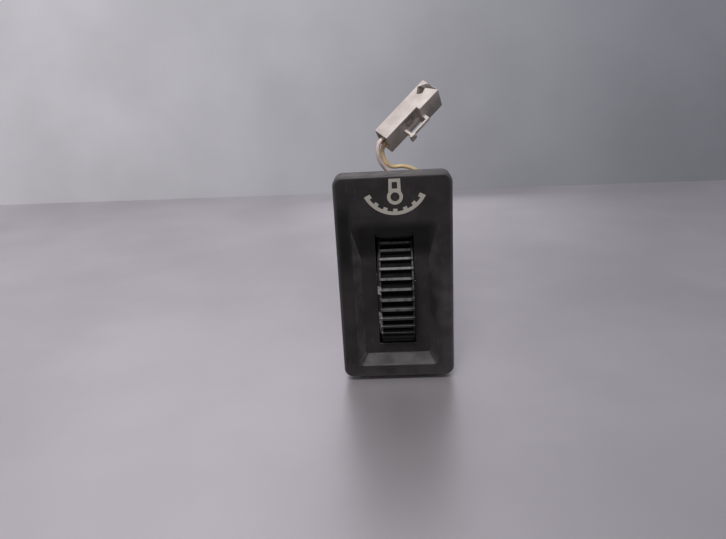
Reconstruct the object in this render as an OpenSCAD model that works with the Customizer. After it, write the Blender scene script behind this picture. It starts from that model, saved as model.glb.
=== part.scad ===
// Dash light dimmer switch: a dished bezel with a ribbed thumbwheel that turns a wire-wound rheostat.
// Millimetres. +X is to the right seen from the front, +Y goes into the dash, +Z is up.
// The origin is the middle of the bezel's back, in the plane that seats on the dash panel.

/* [Bezel] */
// Width of the bezel
bezel_w = 32; // [30:0.5:36]
// Height of the bezel
bezel_h = 59.4; // [57:0.2:66]
// Depth of the bezel in front of the panel
bezel_d = 6.5; // [6:0.1:8]
// Radius of the bezel's four corners, seen from the front
bezel_corner_r = 2.6; // [2:0.1:4]
// Radius of the rounding along the bezel's front edge
bezel_edge_r = 0.8; // [0.4:0.1:1.2]
// Wall between the dished front and the hollow back
bezel_wall = 1.8; // [1.4:0.1:2]

/* [Dished recess] */
// Plain margin left and right of the recess
recess_side_margin = 4.3; // [4:0.1:4.8]
// Plain margin below the recess
recess_foot_margin = 3.7; // [3.5:0.1:4.2]
// Height of the recess at the front face
recess_h = 42.2; // [40:0.1:43]
// Depth of the recess floor below the front face
recess_d = 3.7; // [3:0.1:4]
// How far the side and bottom walls run in
recess_side_run = 2.2; // [1.4:0.1:2.6]
// How far the long top slope runs down
recess_top_run = 9.9; // [7:0.1:11]
// Corner radius of the recess at the front face
recess_corner_r = 1.6; // [1:0.1:2.2]

/* [Thumbwheel] */
// Radius of the wheel over its ribs
wheel_r = 17.1; // [16:0.1:17.4]
// Width of the wheel
wheel_w = 10.2; // [8:0.2:11]
// How far the wheel stands out of the bezel's front face
wheel_proud = 2.4; // [1.6:0.1:2.8]
// Height of the wheel's axis below the middle of the bezel
wheel_drop = 6.6; // [6:0.1:7]
// Number of ribs round the wheel
rib_count = 36; // [24:1:40]
// Depth of the pockets between the ribs
rib_h = 1.6; // [1:0.1:1.8]
// Width of a rib at its tip
rib_tip_w = 0.66; // [0.5:0.02:0.9]
// Width of a rib at its root
rib_root_w = 1.1; // [0.9:0.05:1.4]
// Width of the flange that closes the pockets at each side
flange_w = 0.6; // [0.5:0.1:1.2]
// How far the flanges stay below the rib tips
flange_drop = 0.3; // [0.1:0.05:0.6]
// Thickness of the plain lip left of the ribbed rim
rim_step = 0.5; // [0.3:0.05:0.6]
// How far the lip stays below the rib tips
lip_drop = 0.9; // [0.6:0.1:1.4]
// Turn of the ribs from the level line behind the axis, degrees
rib_phase = 4.2; // [0:0.1:9.9]
// Gap between the wheel and each side of its slot
slot_gap = 0.3; // [0.2:0.05:0.5]
// Height of the slot
slot_h = 34.3; // [33:0.1:35]
// Distance from the recess floor's lower edge up to the slot
slot_foot = 3; // [2:0.1:3.6]

/* [Case] */
// Wall of the case
case_wall = 1.6; // [1.2:0.1:2]
// Step from the bezel's side to the case's side
side_step = 2; // [1.8:0.1:2.2]
// Step from the bezel's bottom to the case's bottom
foot_step = 2.1; // [1.9:0.1:2.4]
// Step from the bezel's top to the case's top
head_step = 5.7; // [5:0.1:7]
// Depth of the case behind the panel plane
case_d = 27.5; // [26.6:0.1:32]
// Corner radius of the case
case_corner_r = 1.8; // [1.7:0.1:2.4]
// Thickness of the rear cover
cover_t = 1.6; // [1.2:0.1:2.4]

/* [Rheostat] */
// Diameter of the steel axle
axle_d = 3; // [2.6:0.1:3.2]
// Travel of the wheel each way from the middle, degrees
half_travel = 100; // [60:1:100]
// Mean radius of the wound track
track_r = 11.5; // [11:0.1:11.8]
// Radial width of the former
former_w = 5; // [4:0.1:5.2]
// Thickness of the former
former_t = 3.1; // [2.4:0.1:3.4]
// Turns of resistance wire that show as ridges
winding_turns = 44; // [12:1:48]
// Diameter of the resistance wire
winding_wire_d = 0.4; // [0.3:0.05:0.5]

/* [Wires and connector] */
// Diameter over the insulation of each wire
wire_d = 1.35; // [1.1:0.05:1.5]
// Distance between the two wires where they leave the case
wire_pitch = 5; // [4.6:0.1:5.4]
// Length of the connector housing
connector_l = 22.8; // [21:0.1:25]
// Height of the connector housing, across its two ways
connector_h = 8.5; // [8:0.1:9.5]
// Width of the rear part of the connector housing
connector_w = 5.3; // [5:0.1:6]
// Width of the hood at the mating end
hood_w = 6.8; // [6.4:0.1:7.6]
// Length of the hood at the mating end
hood_l = 8.8; // [7:0.1:10]
// Wall of the hood
hood_wall = 0.9; // [0.7:0.05:1.1]
// Distance between the connector's two ways
way_pitch = 3.4; // [3:0.1:3.8]

/* [Hidden] */
$fn = 64;
cut = 0.1;

// The wheel's axis and its slot
wheel_y = wheel_r - wheel_proud - bezel_d;
wheel_z = -wheel_drop;
half_wheel = wheel_w / 2;
half_slot = half_wheel + slot_gap;
rib_floor_r = wheel_r - rib_h;
wheel_relief = 0.6;
baffle_gap = 0.7;

// The recess, from its rim to its floor
rim_half_w = bezel_w / 2 - recess_side_margin;
rim_foot_z = -bezel_h / 2 + recess_foot_margin;
rim_head_z = rim_foot_z + recess_h;
floor_y = -bezel_d + recess_d;
floor_foot_z = rim_foot_z + recess_side_run;
floor_head_z = rim_head_z - recess_top_run;
floor_corner_r = 0.9;
pocket_side = 2;
pocket_head = 1;
head_rib_w = 9;
head_margin = 3.5;
head_skin = 2.2;
slot_foot_z = floor_foot_z + slot_foot;
slot_head_z = slot_foot_z + slot_h;

// The case and the rim that seats in a groove of the bezel
fit_gap = 0.2;
groove_gap = 0.1;
inner_corner_r = 0.3;
case_half_w = bezel_w / 2 - side_step;
case_foot_z = -bezel_h / 2 + foot_step;
case_head_z = bezel_h / 2 - head_step;
inner_half_w = case_half_w - case_wall;
inner_foot_z = case_foot_z + case_wall;
inner_head_z = case_head_z - case_wall;
groove_y = -bezel_d + bezel_wall + groove_gap;
pocket_y = floor_y + bezel_wall;
cover_y = case_d + cover_t;
snap_r = 0.4;
snap_gap = 0.05;
snap_l = 16;
snap_y = (groove_y + pocket_y) / 2;

// The axle, its bosses and what turns on it
running_gap = 0.05;
pin_gap = 0.03;
side_gap = 0.1;
axle_r = axle_d / 2;
axle_head_r = axle_r + 1;
axle_head_t = 0.8;
hub_wall = 2.2;
hub_r = axle_r + hub_wall;
boss_wall = 2.9;
boss_r = axle_r + boss_wall;
hub_nose = 0.9;
washer_t = 0.6;
washer_step = 0.3;
wave_rise = 0.75;
wave_slack = 0.35;
wave_sheet_t = 0.3;
wave_bore_gap = 0.2;
wave_step = 0.6;
left_boss_x = -half_wheel - hub_nose - washer_t - side_gap;
right_boss_x = half_wheel + wave_rise + wave_slack;
web_t = 2;
rim_t = 4.9;
hollow_r = rib_floor_r - rim_t;
rim_left_x = -half_wheel + rim_step;

// The wiper on the wheel's left side
wiper_t = 0.4;
wiper_gap = 0.25;
wiper_band = 4.3;
wiper_hole_r = hub_r + side_gap;
wiper_ring_r = wiper_hole_r + wiper_band;
wiper_root = 0.6;
wiper_neck = 0.3;
wiper_toe_l = 1.2;
wiper_toe_rise = 0.5;
peg_r = 0.8;
peg_inset = 2.6;
peg_ring_r = hub_r + peg_inset;
peg_head_t = 0.6;
peg_head_step = 0.5;
contact_w = 2.2;

// The cover, its ribs and its screws
cover_lip_t = 1.2;
cover_lip_d = 1.5;
cover_lip_gap = 0.1;
cover_rib_t = 1.2;
cover_rib_x = -1;
cover_rib_pitch = 5.5;
screw_r = 1.1;
screw_tip_gap = 0.5;
screw_head_r = 2.1;
screw_head_t = 1.4;
screw_blade_w = 0.6;
screw_blade_l = 2.4;
screw_recess_d = 0.84;
screw_l = 9;
post_r = 2.1;
post_inset = 1.8;
post_floor_t = 2;
post_x = inner_half_w - post_inset;
post_foot_z = inner_foot_z + post_inset;
post_head_z = inner_head_z - post_inset;
post_y = case_d - screw_l - post_floor_t;
SCREW_SPOTS = [
    [-post_x, post_foot_z], [post_x, post_foot_z],
    [-post_x, post_head_z], [post_x, post_head_z]
];

// The wound track on the case's left wall, and the rivets at its ends
strip_t = 0.4;
strip_w = 2.4;
wall_gap = 0.6;
winding_tail = 6;
rivet_tail = 6;
former_tail = 7;
winding_half = half_travel + winding_tail;
rivet_angle = winding_half + 2 * rivet_tail;
former_half = rivet_angle + former_tail;
former_x = -inner_half_w + strip_t + wall_gap + winding_wire_d;
track_x = former_x + former_t + winding_wire_d;
ridge_share = 0.6;
base_share = 0.6;
rivet_r = 1;
rivet_post_wall = 1.2;
rivet_head_r = 1.8;
rivet_head_t = 0.5;

// The two brass terminals, and where the wires leave them
collector_w = 2.6;
collector_in_r = boss_r + side_gap;
collector_out_r = boss_r + collector_w;
collector_x = track_x - washer_t;
contact_inset = 0.6;
contact_toe = 0.4;
strip_gap = 1.1;
strip_pitch = 3.6;
tag_gap = 2.5;
tag_y = case_d - tag_gap;
upper_strip_z = post_head_z - post_r - strip_gap - strip_w / 2;
exit_x = 3;
exit_z = upper_strip_z - strip_pitch;
far_exit_x = exit_x + wire_pitch;
WIRE_START = [exit_x, tag_y, exit_z];

// The end stops on the case's right wall and the lug on the wheel that meets them
stop_inset = 1.1;
stop_mid_r = rib_floor_r - stop_inset;
stop_w = 2.4;
stop_h = 2.4;
stop_slack = 1;
stop_gap = 0.84;
lug_t = 1.8;
lug_w = 2.4;
lug_h = 2;
stop_angle = half_travel + stop_slack + asin(stop_w / 2 / stop_mid_r) + asin(lug_w / 2 / stop_mid_r);

// The spring clips that hold the switch in the dash panel
clip_w = 8;
clip_t = 0.5;
clip_rise = 1.2;
clip_front_y = 1.2;
clip_slot_y = 12.5;
clip_end_y = 17;
clip_skin = 0.5;
clip_gap = 0.1;
clip_depth = clip_skin + clip_t + clip_gap;
clip_pad_t = 0.8;
clip_bend = 1.4;
clip_crest = 0.7;
clip_lead = 0.6;
clip_lead_z = -0.1;
panel_t = 3;

// The grommet round the two wires
grommet_half_h = 1.7;
grommet_flange = 0.8;
grommet_flange_t = 1;
wire_r = wire_d / 2;
wire_hole_gap = 0.05;

// The connector's place and slant: the middle of its rear upper edge, from where the white wire starts
connector_step = [-6.1, 5, 23.6];
connector_at = WIRE_START + connector_step;
connector_turn = [36, -39, 26];
contact_gap = 0.05;
hood_step = hood_w - connector_w;
hood_x = connector_l - hood_l;
near_y = -connector_w / 2;
hood_near_y = near_y - hood_step;
side_recess_x = 7;
side_recess_d = 1.1;
side_recess_head = 0.9;
side_recess_foot = 1.9;
side_recess_h = connector_h - side_recess_head - side_recess_foot;
rear_wall = 0.7;
rear_pocket_d = 1.4;
rear_cavity_r = 1.15;
rear_cavity_d = 2.5;

// The lock lever that stands off the connector's near side, with its root on the hood
lever_reach = 2.15;
lever_t = 0.6;
lever_h = 1.5;
lever_drop = 4;
lever_root_l = 1.2;
lever_root_x = hood_x + lever_root_l;
lever_rear_x = 6.7;
lever_bar_l = 0.9;
lever_bar_gap = 0.25;
pad_l = 2.1;
pad_h = 3;
pad_proud = 0.3;
pad_step = 0.4;

// The contacts and the wedge that locks them
hood_d = 7.4;
tab_w = 2.2;
tab_t = 0.64;
tab_reach = 5.6;
barrel_l = 0.8;
barrel_wall = 0.2;
floor_x = connector_l - hood_d;
retainer_step = 2.4;
retainer_x = side_recess_x + retainer_step;
retainer_l = 2.4;
retainer_proud = 0.35;
retainer_sunk = 0.3;
retainer_h = 2.2;
retainer_drop = 4.1;
LOCK_WINDOW = [[-5.1, 0.7], [-3.1, 2.1], [-0.6, 0.3], [-4.1, -0.7]];

// Route of the white wire from its terminal to the connector, as steps from where it starts
WHITE_STEPS = [
    [0, 0, 0], [0, 3, 0], [0, 6, 0], [0, 8.2, 0.3], [-0.1, 10, 1.3], [-0.4, 10.9, 3],
    [-0.9, 11.1, 5], [-1.7, 10.9, 7], [-2.8, 10.4, 8.9], [-4, 9.6, 10.8], [-5.3, 8.6, 12.5],
    [-6.3, 7.6, 14.1], [-6.9, 6.9, 15.8], [-7.2, 6.5, 17.6], [-7.2, 6.3, 19.3], [-6.7, 6.4, 20.8],
    [-5.6, 6.9, 22], [-4.4, 7.5, 23.1]
];

// Route of the yellow wire from its terminal to the connector, as steps from where the white one starts
YELLOW_STEPS = [
    [5, 0, 0], [5, 3, 0], [5, 6, 0], [5.1, 8.2, 0.3], [5.6, 9.9, 1.5], [6.3, 10.6, 3.2],
    [6.9, 10.6, 5.2], [7.1, 10.4, 7.2], [6.6, 10, 9.1], [5.4, 9.7, 10.6], [3.8, 9.6, 11.6], [2, 9.5, 12.3],
    [0.1, 9.5, 12.6], [-1.7, 9.4, 12.5], [-3.3, 9.2, 12.8], [-4.6, 9, 13.8], [-5.4, 8.9, 15.4],
    [-5.8, 8.8, 17.1], [-5.7, 8.9, 18.6], [-4.9, 9.5, 19.9], [-3.7, 10.1, 20.9]
];

// Extrudes a shape drawn in X and Z from the depth y0 to the depth y1
module deep(y0, y1) {
    translate([0, y1, 0]) rotate([90, 0, 0]) linear_extrude(y1 - y0) children();
}

// Extrudes a shape drawn in Y and Z from x0 to x1
module across(x0, x1) {
    translate([x0, 0, 0]) rotate([90, 0, 90]) linear_extrude(x1 - x0) children();
}

// Places a child on the wheel's axis, turned up from the level line behind it
module on_axis(angle = 0) {
    translate([0, wheel_y, wheel_z]) rotate([angle, 0, 0]) children();
}

// A round bar along the wheel's axis
module axis_bar(x0, x1, r) {
    on_axis() translate([x0, 0, 0]) rotate([0, 90, 0]) cylinder(h = x1 - x0, r = r);
}

// Spins a shape drawn in radius and X about the wheel's axis, over an arc centred on the rear
module axis_arc(half_angle) {
    on_axis() rotate([0, 90, 0]) rotate([0, 0, 90 - half_angle])
        rotate_extrude(angle = 2 * half_angle) children();
}

// A flat ring on the wheel's axis
module axis_ring(x0, x1, r_in, r_out) {
    difference() {
        axis_bar(x0, x1, r_out);
        axis_bar(x0 - cut, x1 + cut, r_in);
    }
}

// A rectangle from one corner to the other, with round corners
module round_rect(x0, z0, x1, z1, r) {
    translate([x0 + r, z0]) square([x1 - x0 - 2 * r, z1 - z0]);
    translate([x0, z0 + r]) square([x1 - x0, z1 - z0 - 2 * r]);
    for (x = [x0 + r, x1 - r], z = [z0 + r, z1 - r]) translate([x, z]) circle(r);
}

// A slot with round ends
module stadium(half_w, half_h) {
    translate([-(half_w - half_h), -half_h]) square([2 * (half_w - half_h), 2 * half_h]);
    for (side = [-1, 1]) translate([side * (half_w - half_h), 0]) circle(half_h);
}

// A bent strip of sheet metal, drawn along its middle line
module bent_strip(points, t) {
    for (i = [0 : len(points) - 2]) {
        step = points[i + 1] - points[i];
        translate(points[i]) rotate(atan2(step[1], step[0]))
            translate([0, -t / 2]) square([norm(step), t]);
    }
    for (i = [1 : len(points) - 2]) translate(points[i]) circle(t / 2);
}

// Side faces and end caps of a solid made of equal rings of points
function ring_faces(rings, n) = concat(
    [[for (j = [0 : n - 1]) j]],
    [[for (j = [n - 1 : -1 : 0]) (rings - 1) * n + j]],
    [for (i = [0 : rings - 2], j = [0 : n - 1])
        [i * n + j, (i + 1) * n + j, (i + 1) * n + (j + 1) % n, i * n + (j + 1) % n]]
);

// Blend between two corners of a profile: from a, past the corner b, to c
function blend(a, b, c, t) = (1 - t) * (1 - t) * a + 2 * t * (1 - t) * b + t * t * c;

// Ring of a rectangle with round corners, at one depth
function recess_ring(half_w, z0, z1, r, y) = [
    for (k = [0 : 3], s = [0 : 6])
        let (a = 90 * k + 15 * s, right = k == 0 || k == 3, high = k < 2)
        [(right ? half_w - r : r - half_w) + r * cos(a), y, (high ? z1 - r : z0 + r) + r * sin(a)]
];

// Profile of the recess wall from floor to rim, as shares of its run and depth, softened at both ends
soft_rim = 0.13;
soft_foot = 0.1;
WALL_PROFILE = concat(
    [for (t = [0 : 0.25 : 1]) blend([1 + soft_foot, 1], [1, 1], [1 - soft_foot, 1 - soft_foot], t)],
    [for (t = [0 : 0.25 : 1]) blend([soft_rim, soft_rim], [0, 0], [-soft_rim, 0], t)],
    [[-soft_rim, -0.2]]
);

// The dished space in front of the recess floor
module recess_space() {
    rings = [
        for (p = WALL_PROFILE)
            recess_ring(
                rim_half_w - recess_side_run * p[0],
                rim_foot_z + recess_side_run * p[0],
                rim_head_z - recess_top_run * p[0],
                recess_corner_r + (floor_corner_r - recess_corner_r) * p[0],
                -bezel_d + recess_d * p[1]
            )
    ];
    polyhedron(points = [for (ring = rings) each ring], faces = ring_faces(len(rings), len(rings[0])));
}

// Section of the bezel plate between its back and its rounded front edge
module plate_section(half) {
    translate([-half, 0]) square([2 * half, bezel_d - bezel_edge_r]);
    translate([-half + bezel_edge_r, 0]) square([2 * (half - bezel_edge_r), bezel_d]);
    for (side = [-1, 1])
        translate([side * (half - bezel_edge_r), bezel_d - bezel_edge_r]) circle(bezel_edge_r);
}

// The bezel's outer block, with round corners and a rounded front edge
module bezel_block() {
    x = bezel_w / 2 - bezel_corner_r;
    z = bezel_h / 2 - bezel_corner_r;
    translate([0, 0, -z]) linear_extrude(2 * z) mirror([0, 1]) plate_section(bezel_w / 2);
    across(-x, x) rotate(90) plate_section(bezel_h / 2);
    for (side = [-1, 1], end = [-1, 1])
        translate([side * x, 0, end * z]) rotate([90, 0, 0]) rotate_extrude()
            intersection() {
                plate_section(bezel_corner_r);
                square([bezel_corner_r, bezel_d]);
            }
}

// Hollow behind the long slope above the wheel, with a wall of even thickness in front of it
module crown_pocket() {
    wall_depth = bezel_wall / cos(atan2(recess_d, recess_top_run));
    back_y = floor_y + wall_depth;
    front_y = -bezel_d + bezel_wall;
    rise = recess_top_run / recess_d;
    half = inner_half_w - pocket_side;
    across(-half, half)
        polygon([
            [pocket_y + cut, floor_head_z + (back_y - pocket_y - cut) * rise],
            [front_y, floor_head_z + (back_y - front_y) * rise],
            [front_y, inner_head_z - pocket_head],
            [pocket_y + cut, inner_head_z - pocket_head]
        ]);
}

// Coring pockets in the thick band above the case, each side of a middle rib
module head_pockets() {
    band_z = case_head_z + fit_gap;
    pocket_h = bezel_h / 2 - band_z - 2 * bezel_wall;
    pocket_w = bezel_w / 2 - head_margin - head_rib_w / 2;
    for (side = [-1, 1])
        translate([side * (head_rib_w + pocket_w) / 2 - pocket_w / 2, 0, band_z + bezel_wall])
            translate([0, -bezel_d + head_skin, 0]) cube([pocket_w, bezel_d, pocket_h]);
}

// The half-round ridge or groove that snaps the bezel onto the case
module snap_bars(r) {
    for (side = [-1, 1])
        translate([side * (case_half_w + fit_gap), snap_y, wheel_z - snap_l / 2])
            cylinder(h = snap_l, r = r);
}

module bezel() {
    lip = case_wall + fit_gap;
    color("#2b2b2c")
    union() {
        difference() {
            bezel_block();
            recess_space();
            translate([-half_slot, -bezel_d - cut, slot_foot_z])
                cube([2 * half_slot, bezel_d + 2 * cut, slot_head_z - slot_foot_z]);
            axis_bar(-half_slot, half_slot, wheel_r + wheel_relief);
            deep(groove_y, cut) difference() {
                round_rect(-case_half_w - fit_gap, case_foot_z - fit_gap,
                    case_half_w + fit_gap, case_head_z + fit_gap, case_corner_r + fit_gap);
                round_rect(-case_half_w + lip, case_foot_z + lip,
                    case_half_w - lip, case_head_z - lip, fit_gap);
            }
            deep(pocket_y, cut)
                translate([-case_half_w, case_foot_z])
                    square([2 * case_half_w, case_head_z - case_foot_z]);
            crown_pocket();
            head_pockets();
        }
        snap_bars(snap_r);
    }
}

// Outline of the case, grown outwards by a margin
module case_outline(margin = 0) {
    round_rect(-case_half_w - margin, case_foot_z - margin, case_half_w + margin, case_head_z + margin,
        case_corner_r + margin);
}

// One end stop, at its angle above or below the rear level line
module end_stop(angle) {
    on_axis(angle)
        translate([half_wheel + stop_gap, stop_mid_r - stop_h / 2, -stop_w / 2])
            cube([inner_half_w + cut - half_wheel - stop_gap, stop_h, stop_w]);
}

// Wall across the case's mouth above the wheel, so that nothing inside shows through the slot
module baffle() {
    translate([-inner_half_w - cut, pocket_y, wheel_z + wheel_r + baffle_gap])
        cube([2 * (inner_half_w + cut), case_wall, inner_head_z + cut - wheel_z - wheel_r - baffle_gap]);
}

// Seat of one spring clip in the outer face of a wall: an open channel and a slot that grips the tail
module clip_seat() {
    half = clip_w / 2 + fit_gap / 2;
    translate([-half, clip_front_y, -clip_depth])
        cube([2 * half, clip_slot_y - clip_front_y, clip_depth + cut]);
    translate([-half, clip_slot_y - cut, -clip_depth])
        cube([2 * half, clip_end_y - clip_slot_y + 2 * cut, clip_depth - clip_skin]);
}

// Thicker patch inside the wall behind one clip seat
module clip_pad() {
    half = clip_w / 2 + case_wall;
    translate([-half, 0, -case_wall - clip_pad_t])
        cube([2 * half, clip_end_y + case_wall, clip_pad_t + cut]);
}

// Moves a child that is drawn on the top wall to the top or the bottom wall
module on_wall(top = true) {
    if (top) translate([0, 0, case_head_z]) children();
    else translate([0, 0, case_foot_z]) mirror([0, 0, 1]) children();
}

module case() {
    color("#262627")
    difference() {
        union() {
            difference() {
                deep(groove_y, case_d) case_outline();
                deep(groove_y - cut, case_d + cut)
                    round_rect(-inner_half_w, inner_foot_z, inner_half_w, inner_head_z, inner_corner_r);
            }
            axis_bar(-inner_half_w - cut, collector_x, collector_out_r);
            axis_bar(-inner_half_w - cut, left_boss_x, boss_r);
            axis_bar(right_boss_x, inner_half_w + cut, boss_r);
            for (angle = [-rivet_angle, rivet_angle])
                on_axis(angle) translate([-inner_half_w - cut, track_r, 0]) rotate([0, 90, 0])
                    cylinder(h = former_x + inner_half_w + cut, r = rivet_r + rivet_post_wall);
            for (angle = [-stop_angle, stop_angle]) end_stop(angle);
            baffle();
            on_wall(true) clip_pad();
            on_wall(false) clip_pad();
            for (spot = SCREW_SPOTS)
                translate([spot[0], case_d, spot[1]]) rotate([90, 0, 0])
                    cylinder(h = case_d - post_y, r = post_r);
        }
        axis_bar(-case_half_w - cut, case_half_w + cut, axle_r + pin_gap);
        axis_bar(case_half_w - axle_head_t - side_gap, case_half_w + cut, axle_head_r + side_gap);
        for (angle = [-rivet_angle, rivet_angle])
            on_axis(angle) translate([-case_half_w - cut, track_r, 0]) rotate([0, 90, 0]) {
                cylinder(h = case_half_w, r = rivet_r + pin_gap);
                cylinder(h = rivet_head_t + side_gap + cut, r = rivet_head_r + side_gap);
            }
        for (spot = SCREW_SPOTS)
            translate([spot[0], case_d + cut, spot[1]]) rotate([90, 0, 0])
                cylinder(h = screw_l + cut, r = screw_r + pin_gap);
        on_wall(true) clip_seat();
        on_wall(false) clip_seat();
        snap_bars(snap_r + snap_gap);
    }
}

module rear_cover() {
    lip_half_w = inner_half_w - cover_lip_gap;
    lip_foot_z = inner_foot_z + cover_lip_gap;
    lip_h = inner_head_z - inner_foot_z - 2 * cover_lip_gap;
    color("#29292a")
    difference() {
        union() {
            deep(case_d, cover_y) case_outline();
            deep(case_d - cover_lip_d, case_d + cut) difference() {
                translate([-lip_half_w, lip_foot_z]) square([2 * lip_half_w, lip_h]);
                translate([-lip_half_w + cover_lip_t, lip_foot_z + cover_lip_t])
                    square([2 * (lip_half_w - cover_lip_t), lip_h - 2 * cover_lip_t]);
                for (spot = SCREW_SPOTS) translate(spot) circle(post_r + fit_gap);
            }
            for (i = [0, 1])
                translate([cover_rib_x - i * cover_rib_pitch, tag_y, exit_z - strip_w / 2])
                    cube([cover_rib_t, tag_gap + cut, strip_pitch + strip_w]);
        }
        translate([exit_x + wire_pitch / 2, 0, exit_z])
            deep(case_d - 2 * cut, cover_y + cut) stadium(wire_pitch / 2 + grommet_half_h, grommet_half_h);
        for (spot = SCREW_SPOTS)
            translate([spot[0], cover_y + cut, spot[1]]) rotate([90, 0, 0])
                cylinder(h = cover_t + cover_lip_d + 2 * cut, r = screw_r + pin_gap);
    }
}

// Outline of the rim: one flat land and one tapered rib for each step round the wheel
module ribbed_rim() {
    root_a = asin(rib_root_w / 2 / rib_floor_r);
    tip_a = asin(rib_tip_w / 2 / wheel_r);
    RIB = [[-root_a, rib_floor_r], [-tip_a, wheel_r], [tip_a, wheel_r], [root_a, rib_floor_r]];
    polygon([
        for (i = [0 : rib_count - 1], p = RIB)
            let (a = rib_phase + 360 * i / rib_count + p[0])
            [p[1] * cos(a), p[1] * sin(a)]
    ]);
}

module thumbwheel() {
    flange_r = wheel_r - flange_drop;
    lug_head_x = half_wheel + lug_t;
    color("#1d1d1e")
    difference() {
        union() {
            translate([0, wheel_y, wheel_z]) across(rim_left_x, half_wheel) ribbed_rim();
            axis_bar(-half_wheel, rim_left_x + cut, wheel_r - lip_drop);
            axis_bar(rim_left_x, rim_left_x + flange_w, flange_r);
            axis_bar(half_wheel - flange_w, half_wheel, flange_r);
            on_axis() translate([half_wheel - flange_w, stop_mid_r - lug_h / 2, -lug_w / 2])
                cube([lug_head_x - half_wheel + flange_w, lug_h, lug_w]);
            axis_bar(-half_wheel - hub_nose, -half_wheel + cut, hub_r);
            for (angle = [-90, 90])
                on_axis(angle) translate([-half_wheel - wiper_t - peg_head_t, peg_ring_r, 0])
                    rotate([0, 90, 0]) {
                        cylinder(h = wiper_t + peg_head_t + cut, r = peg_r);
                        cylinder(h = peg_head_t, r = peg_r + peg_head_step);
                    }
        }
        difference() {
            axis_bar(-half_wheel + web_t, half_wheel + cut, hollow_r);
            axis_bar(-half_wheel, half_wheel + 2 * cut, hub_r);
        }
        axis_bar(-half_wheel - hub_nose - cut, half_wheel + cut, axle_r + running_gap);
    }
}

module wheel_axle() {
    color("#b9bcc0")
    union() {
        axis_bar(-case_half_w + 2 * side_gap, case_half_w - axle_head_t, axle_r);
        axis_bar(case_half_w - axle_head_t - side_gap, case_half_w - side_gap, axle_head_r);
    }
}

// A ring of spring sheet bowed across its middle
module wave_washer() {
    outer = boss_r - wave_step;
    bow_r = (outer * outer + wave_rise * wave_rise) / (2 * wave_rise);
    color("#a9acb0")
    intersection() {
        axis_ring(half_wheel, right_boss_x, axle_r + wave_bore_gap, outer);
        translate([half_wheel + bow_r, wheel_y, wheel_z - outer]) difference() {
            cylinder(h = 2 * outer, r = bow_r, $fn = 128);
            translate([0, 0, -cut]) cylinder(h = 2 * (outer + cut), r = bow_r - wave_sheet_t, $fn = 128);
        }
    }
}

module thrust_washer() {
    color("#8a5a34")
    axis_ring(left_boss_x, left_boss_x + washer_t, axle_r + running_gap, boss_r - washer_step);
}

module wiper() {
    plate_x = -half_wheel - wiper_t;
    mid_x = plate_x + wiper_t / 2;
    reach_x = track_x + wiper_gap + wiper_t / 2;
    ring_reach_x = collector_x + washer_t + wiper_gap + wiper_t / 2;
    color("#c79a4b")
    difference() {
        union() {
            axis_ring(plate_x, -half_wheel, wiper_hole_r, wiper_ring_r);
            on_axis() translate([0, 0, -contact_w / 2]) linear_extrude(contact_w)
                bent_strip([
                    [mid_x, wiper_ring_r - wiper_root], [mid_x, wiper_ring_r + wiper_neck],
                    [reach_x, track_r], [reach_x + wiper_toe_rise, track_r + wiper_toe_l]
                ], wiper_t);
            on_axis(180) translate([0, 0, -contact_w / 2]) linear_extrude(contact_w)
                bent_strip([
                    [mid_x, wiper_ring_r - wiper_root], [mid_x - wiper_toe_rise, wiper_ring_r + side_gap],
                    [ring_reach_x, collector_out_r - contact_inset],
                    [ring_reach_x + contact_toe, collector_in_r + contact_toe]
                ], wiper_t);
        }
        for (angle = [-90, 90])
            on_axis(angle) translate([plate_x - cut, peg_ring_r, 0]) rotate([0, 90, 0])
                cylinder(h = wiper_t + 2 * cut, r = peg_r + running_gap);
    }
}

module resistor_former() {
    color("#d8d2c4")
    difference() {
        axis_arc(former_half) former_section();
        for (angle = [-rivet_angle, rivet_angle])
            on_axis(angle) translate([former_x - cut, track_r, 0]) rotate([0, 90, 0])
                cylinder(h = former_t + 2 * cut, r = rivet_r + pin_gap);
    }
}

// Section of the former, grown outwards by the thickness of the wire
module former_section(wire = 0) {
    translate([track_r - former_w / 2 - wire, former_x - wire])
        square([former_w + 2 * wire, former_t + 2 * wire]);
}

module resistance_winding() {
    pitch = 2 * winding_half / winding_turns;
    color("#9c8f7c")
    difference() {
        union() {
            axis_arc(winding_half) former_section(winding_wire_d * base_share);
            for (i = [0 : winding_turns - 1])
                on_axis(-winding_half + pitch * (i + 0.5))
                    rotate([0, 90, 0]) rotate([0, 0, 90 - pitch * ridge_share / 2])
                        rotate_extrude(angle = pitch * ridge_share) former_section(winding_wire_d);
        }
        axis_arc(former_half) former_section();
    }
}

// A brass strip that runs across behind the wheel, to the tag that carries a wire
module cross_strip(x0, x1, z) {
    translate([x0, tag_y - strip_t, z - strip_w / 2]) cube([x1 - x0, strip_t, strip_w]);
}

module winding_terminal() {
    plate_x = former_x + former_t;
    rivet_y = wheel_y + track_r * cos(rivet_angle);
    rivet_z = wheel_z + track_r * sin(rivet_angle);
    color("#c8a24a")
    difference() {
        union() {
            translate([plate_x, rivet_y, rivet_z]) rotate([0, 90, 0])
                cylinder(h = strip_t, r = rivet_head_r);
            translate([plate_x, rivet_y - strip_w / 2, rivet_z])
                cube([strip_t, strip_w, exit_z + strip_w / 2 - rivet_z]);
            translate([plate_x, rivet_y - strip_w / 2, exit_z - strip_w / 2])
                cube([strip_t, tag_y - rivet_y + strip_w / 2, strip_w]);
            cross_strip(plate_x, exit_x + strip_w / 2, exit_z);
        }
        translate([plate_x - cut, rivet_y, rivet_z]) rotate([0, 90, 0])
            cylinder(h = strip_t + 2 * cut, r = rivet_r + pin_gap);
    }
}

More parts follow.
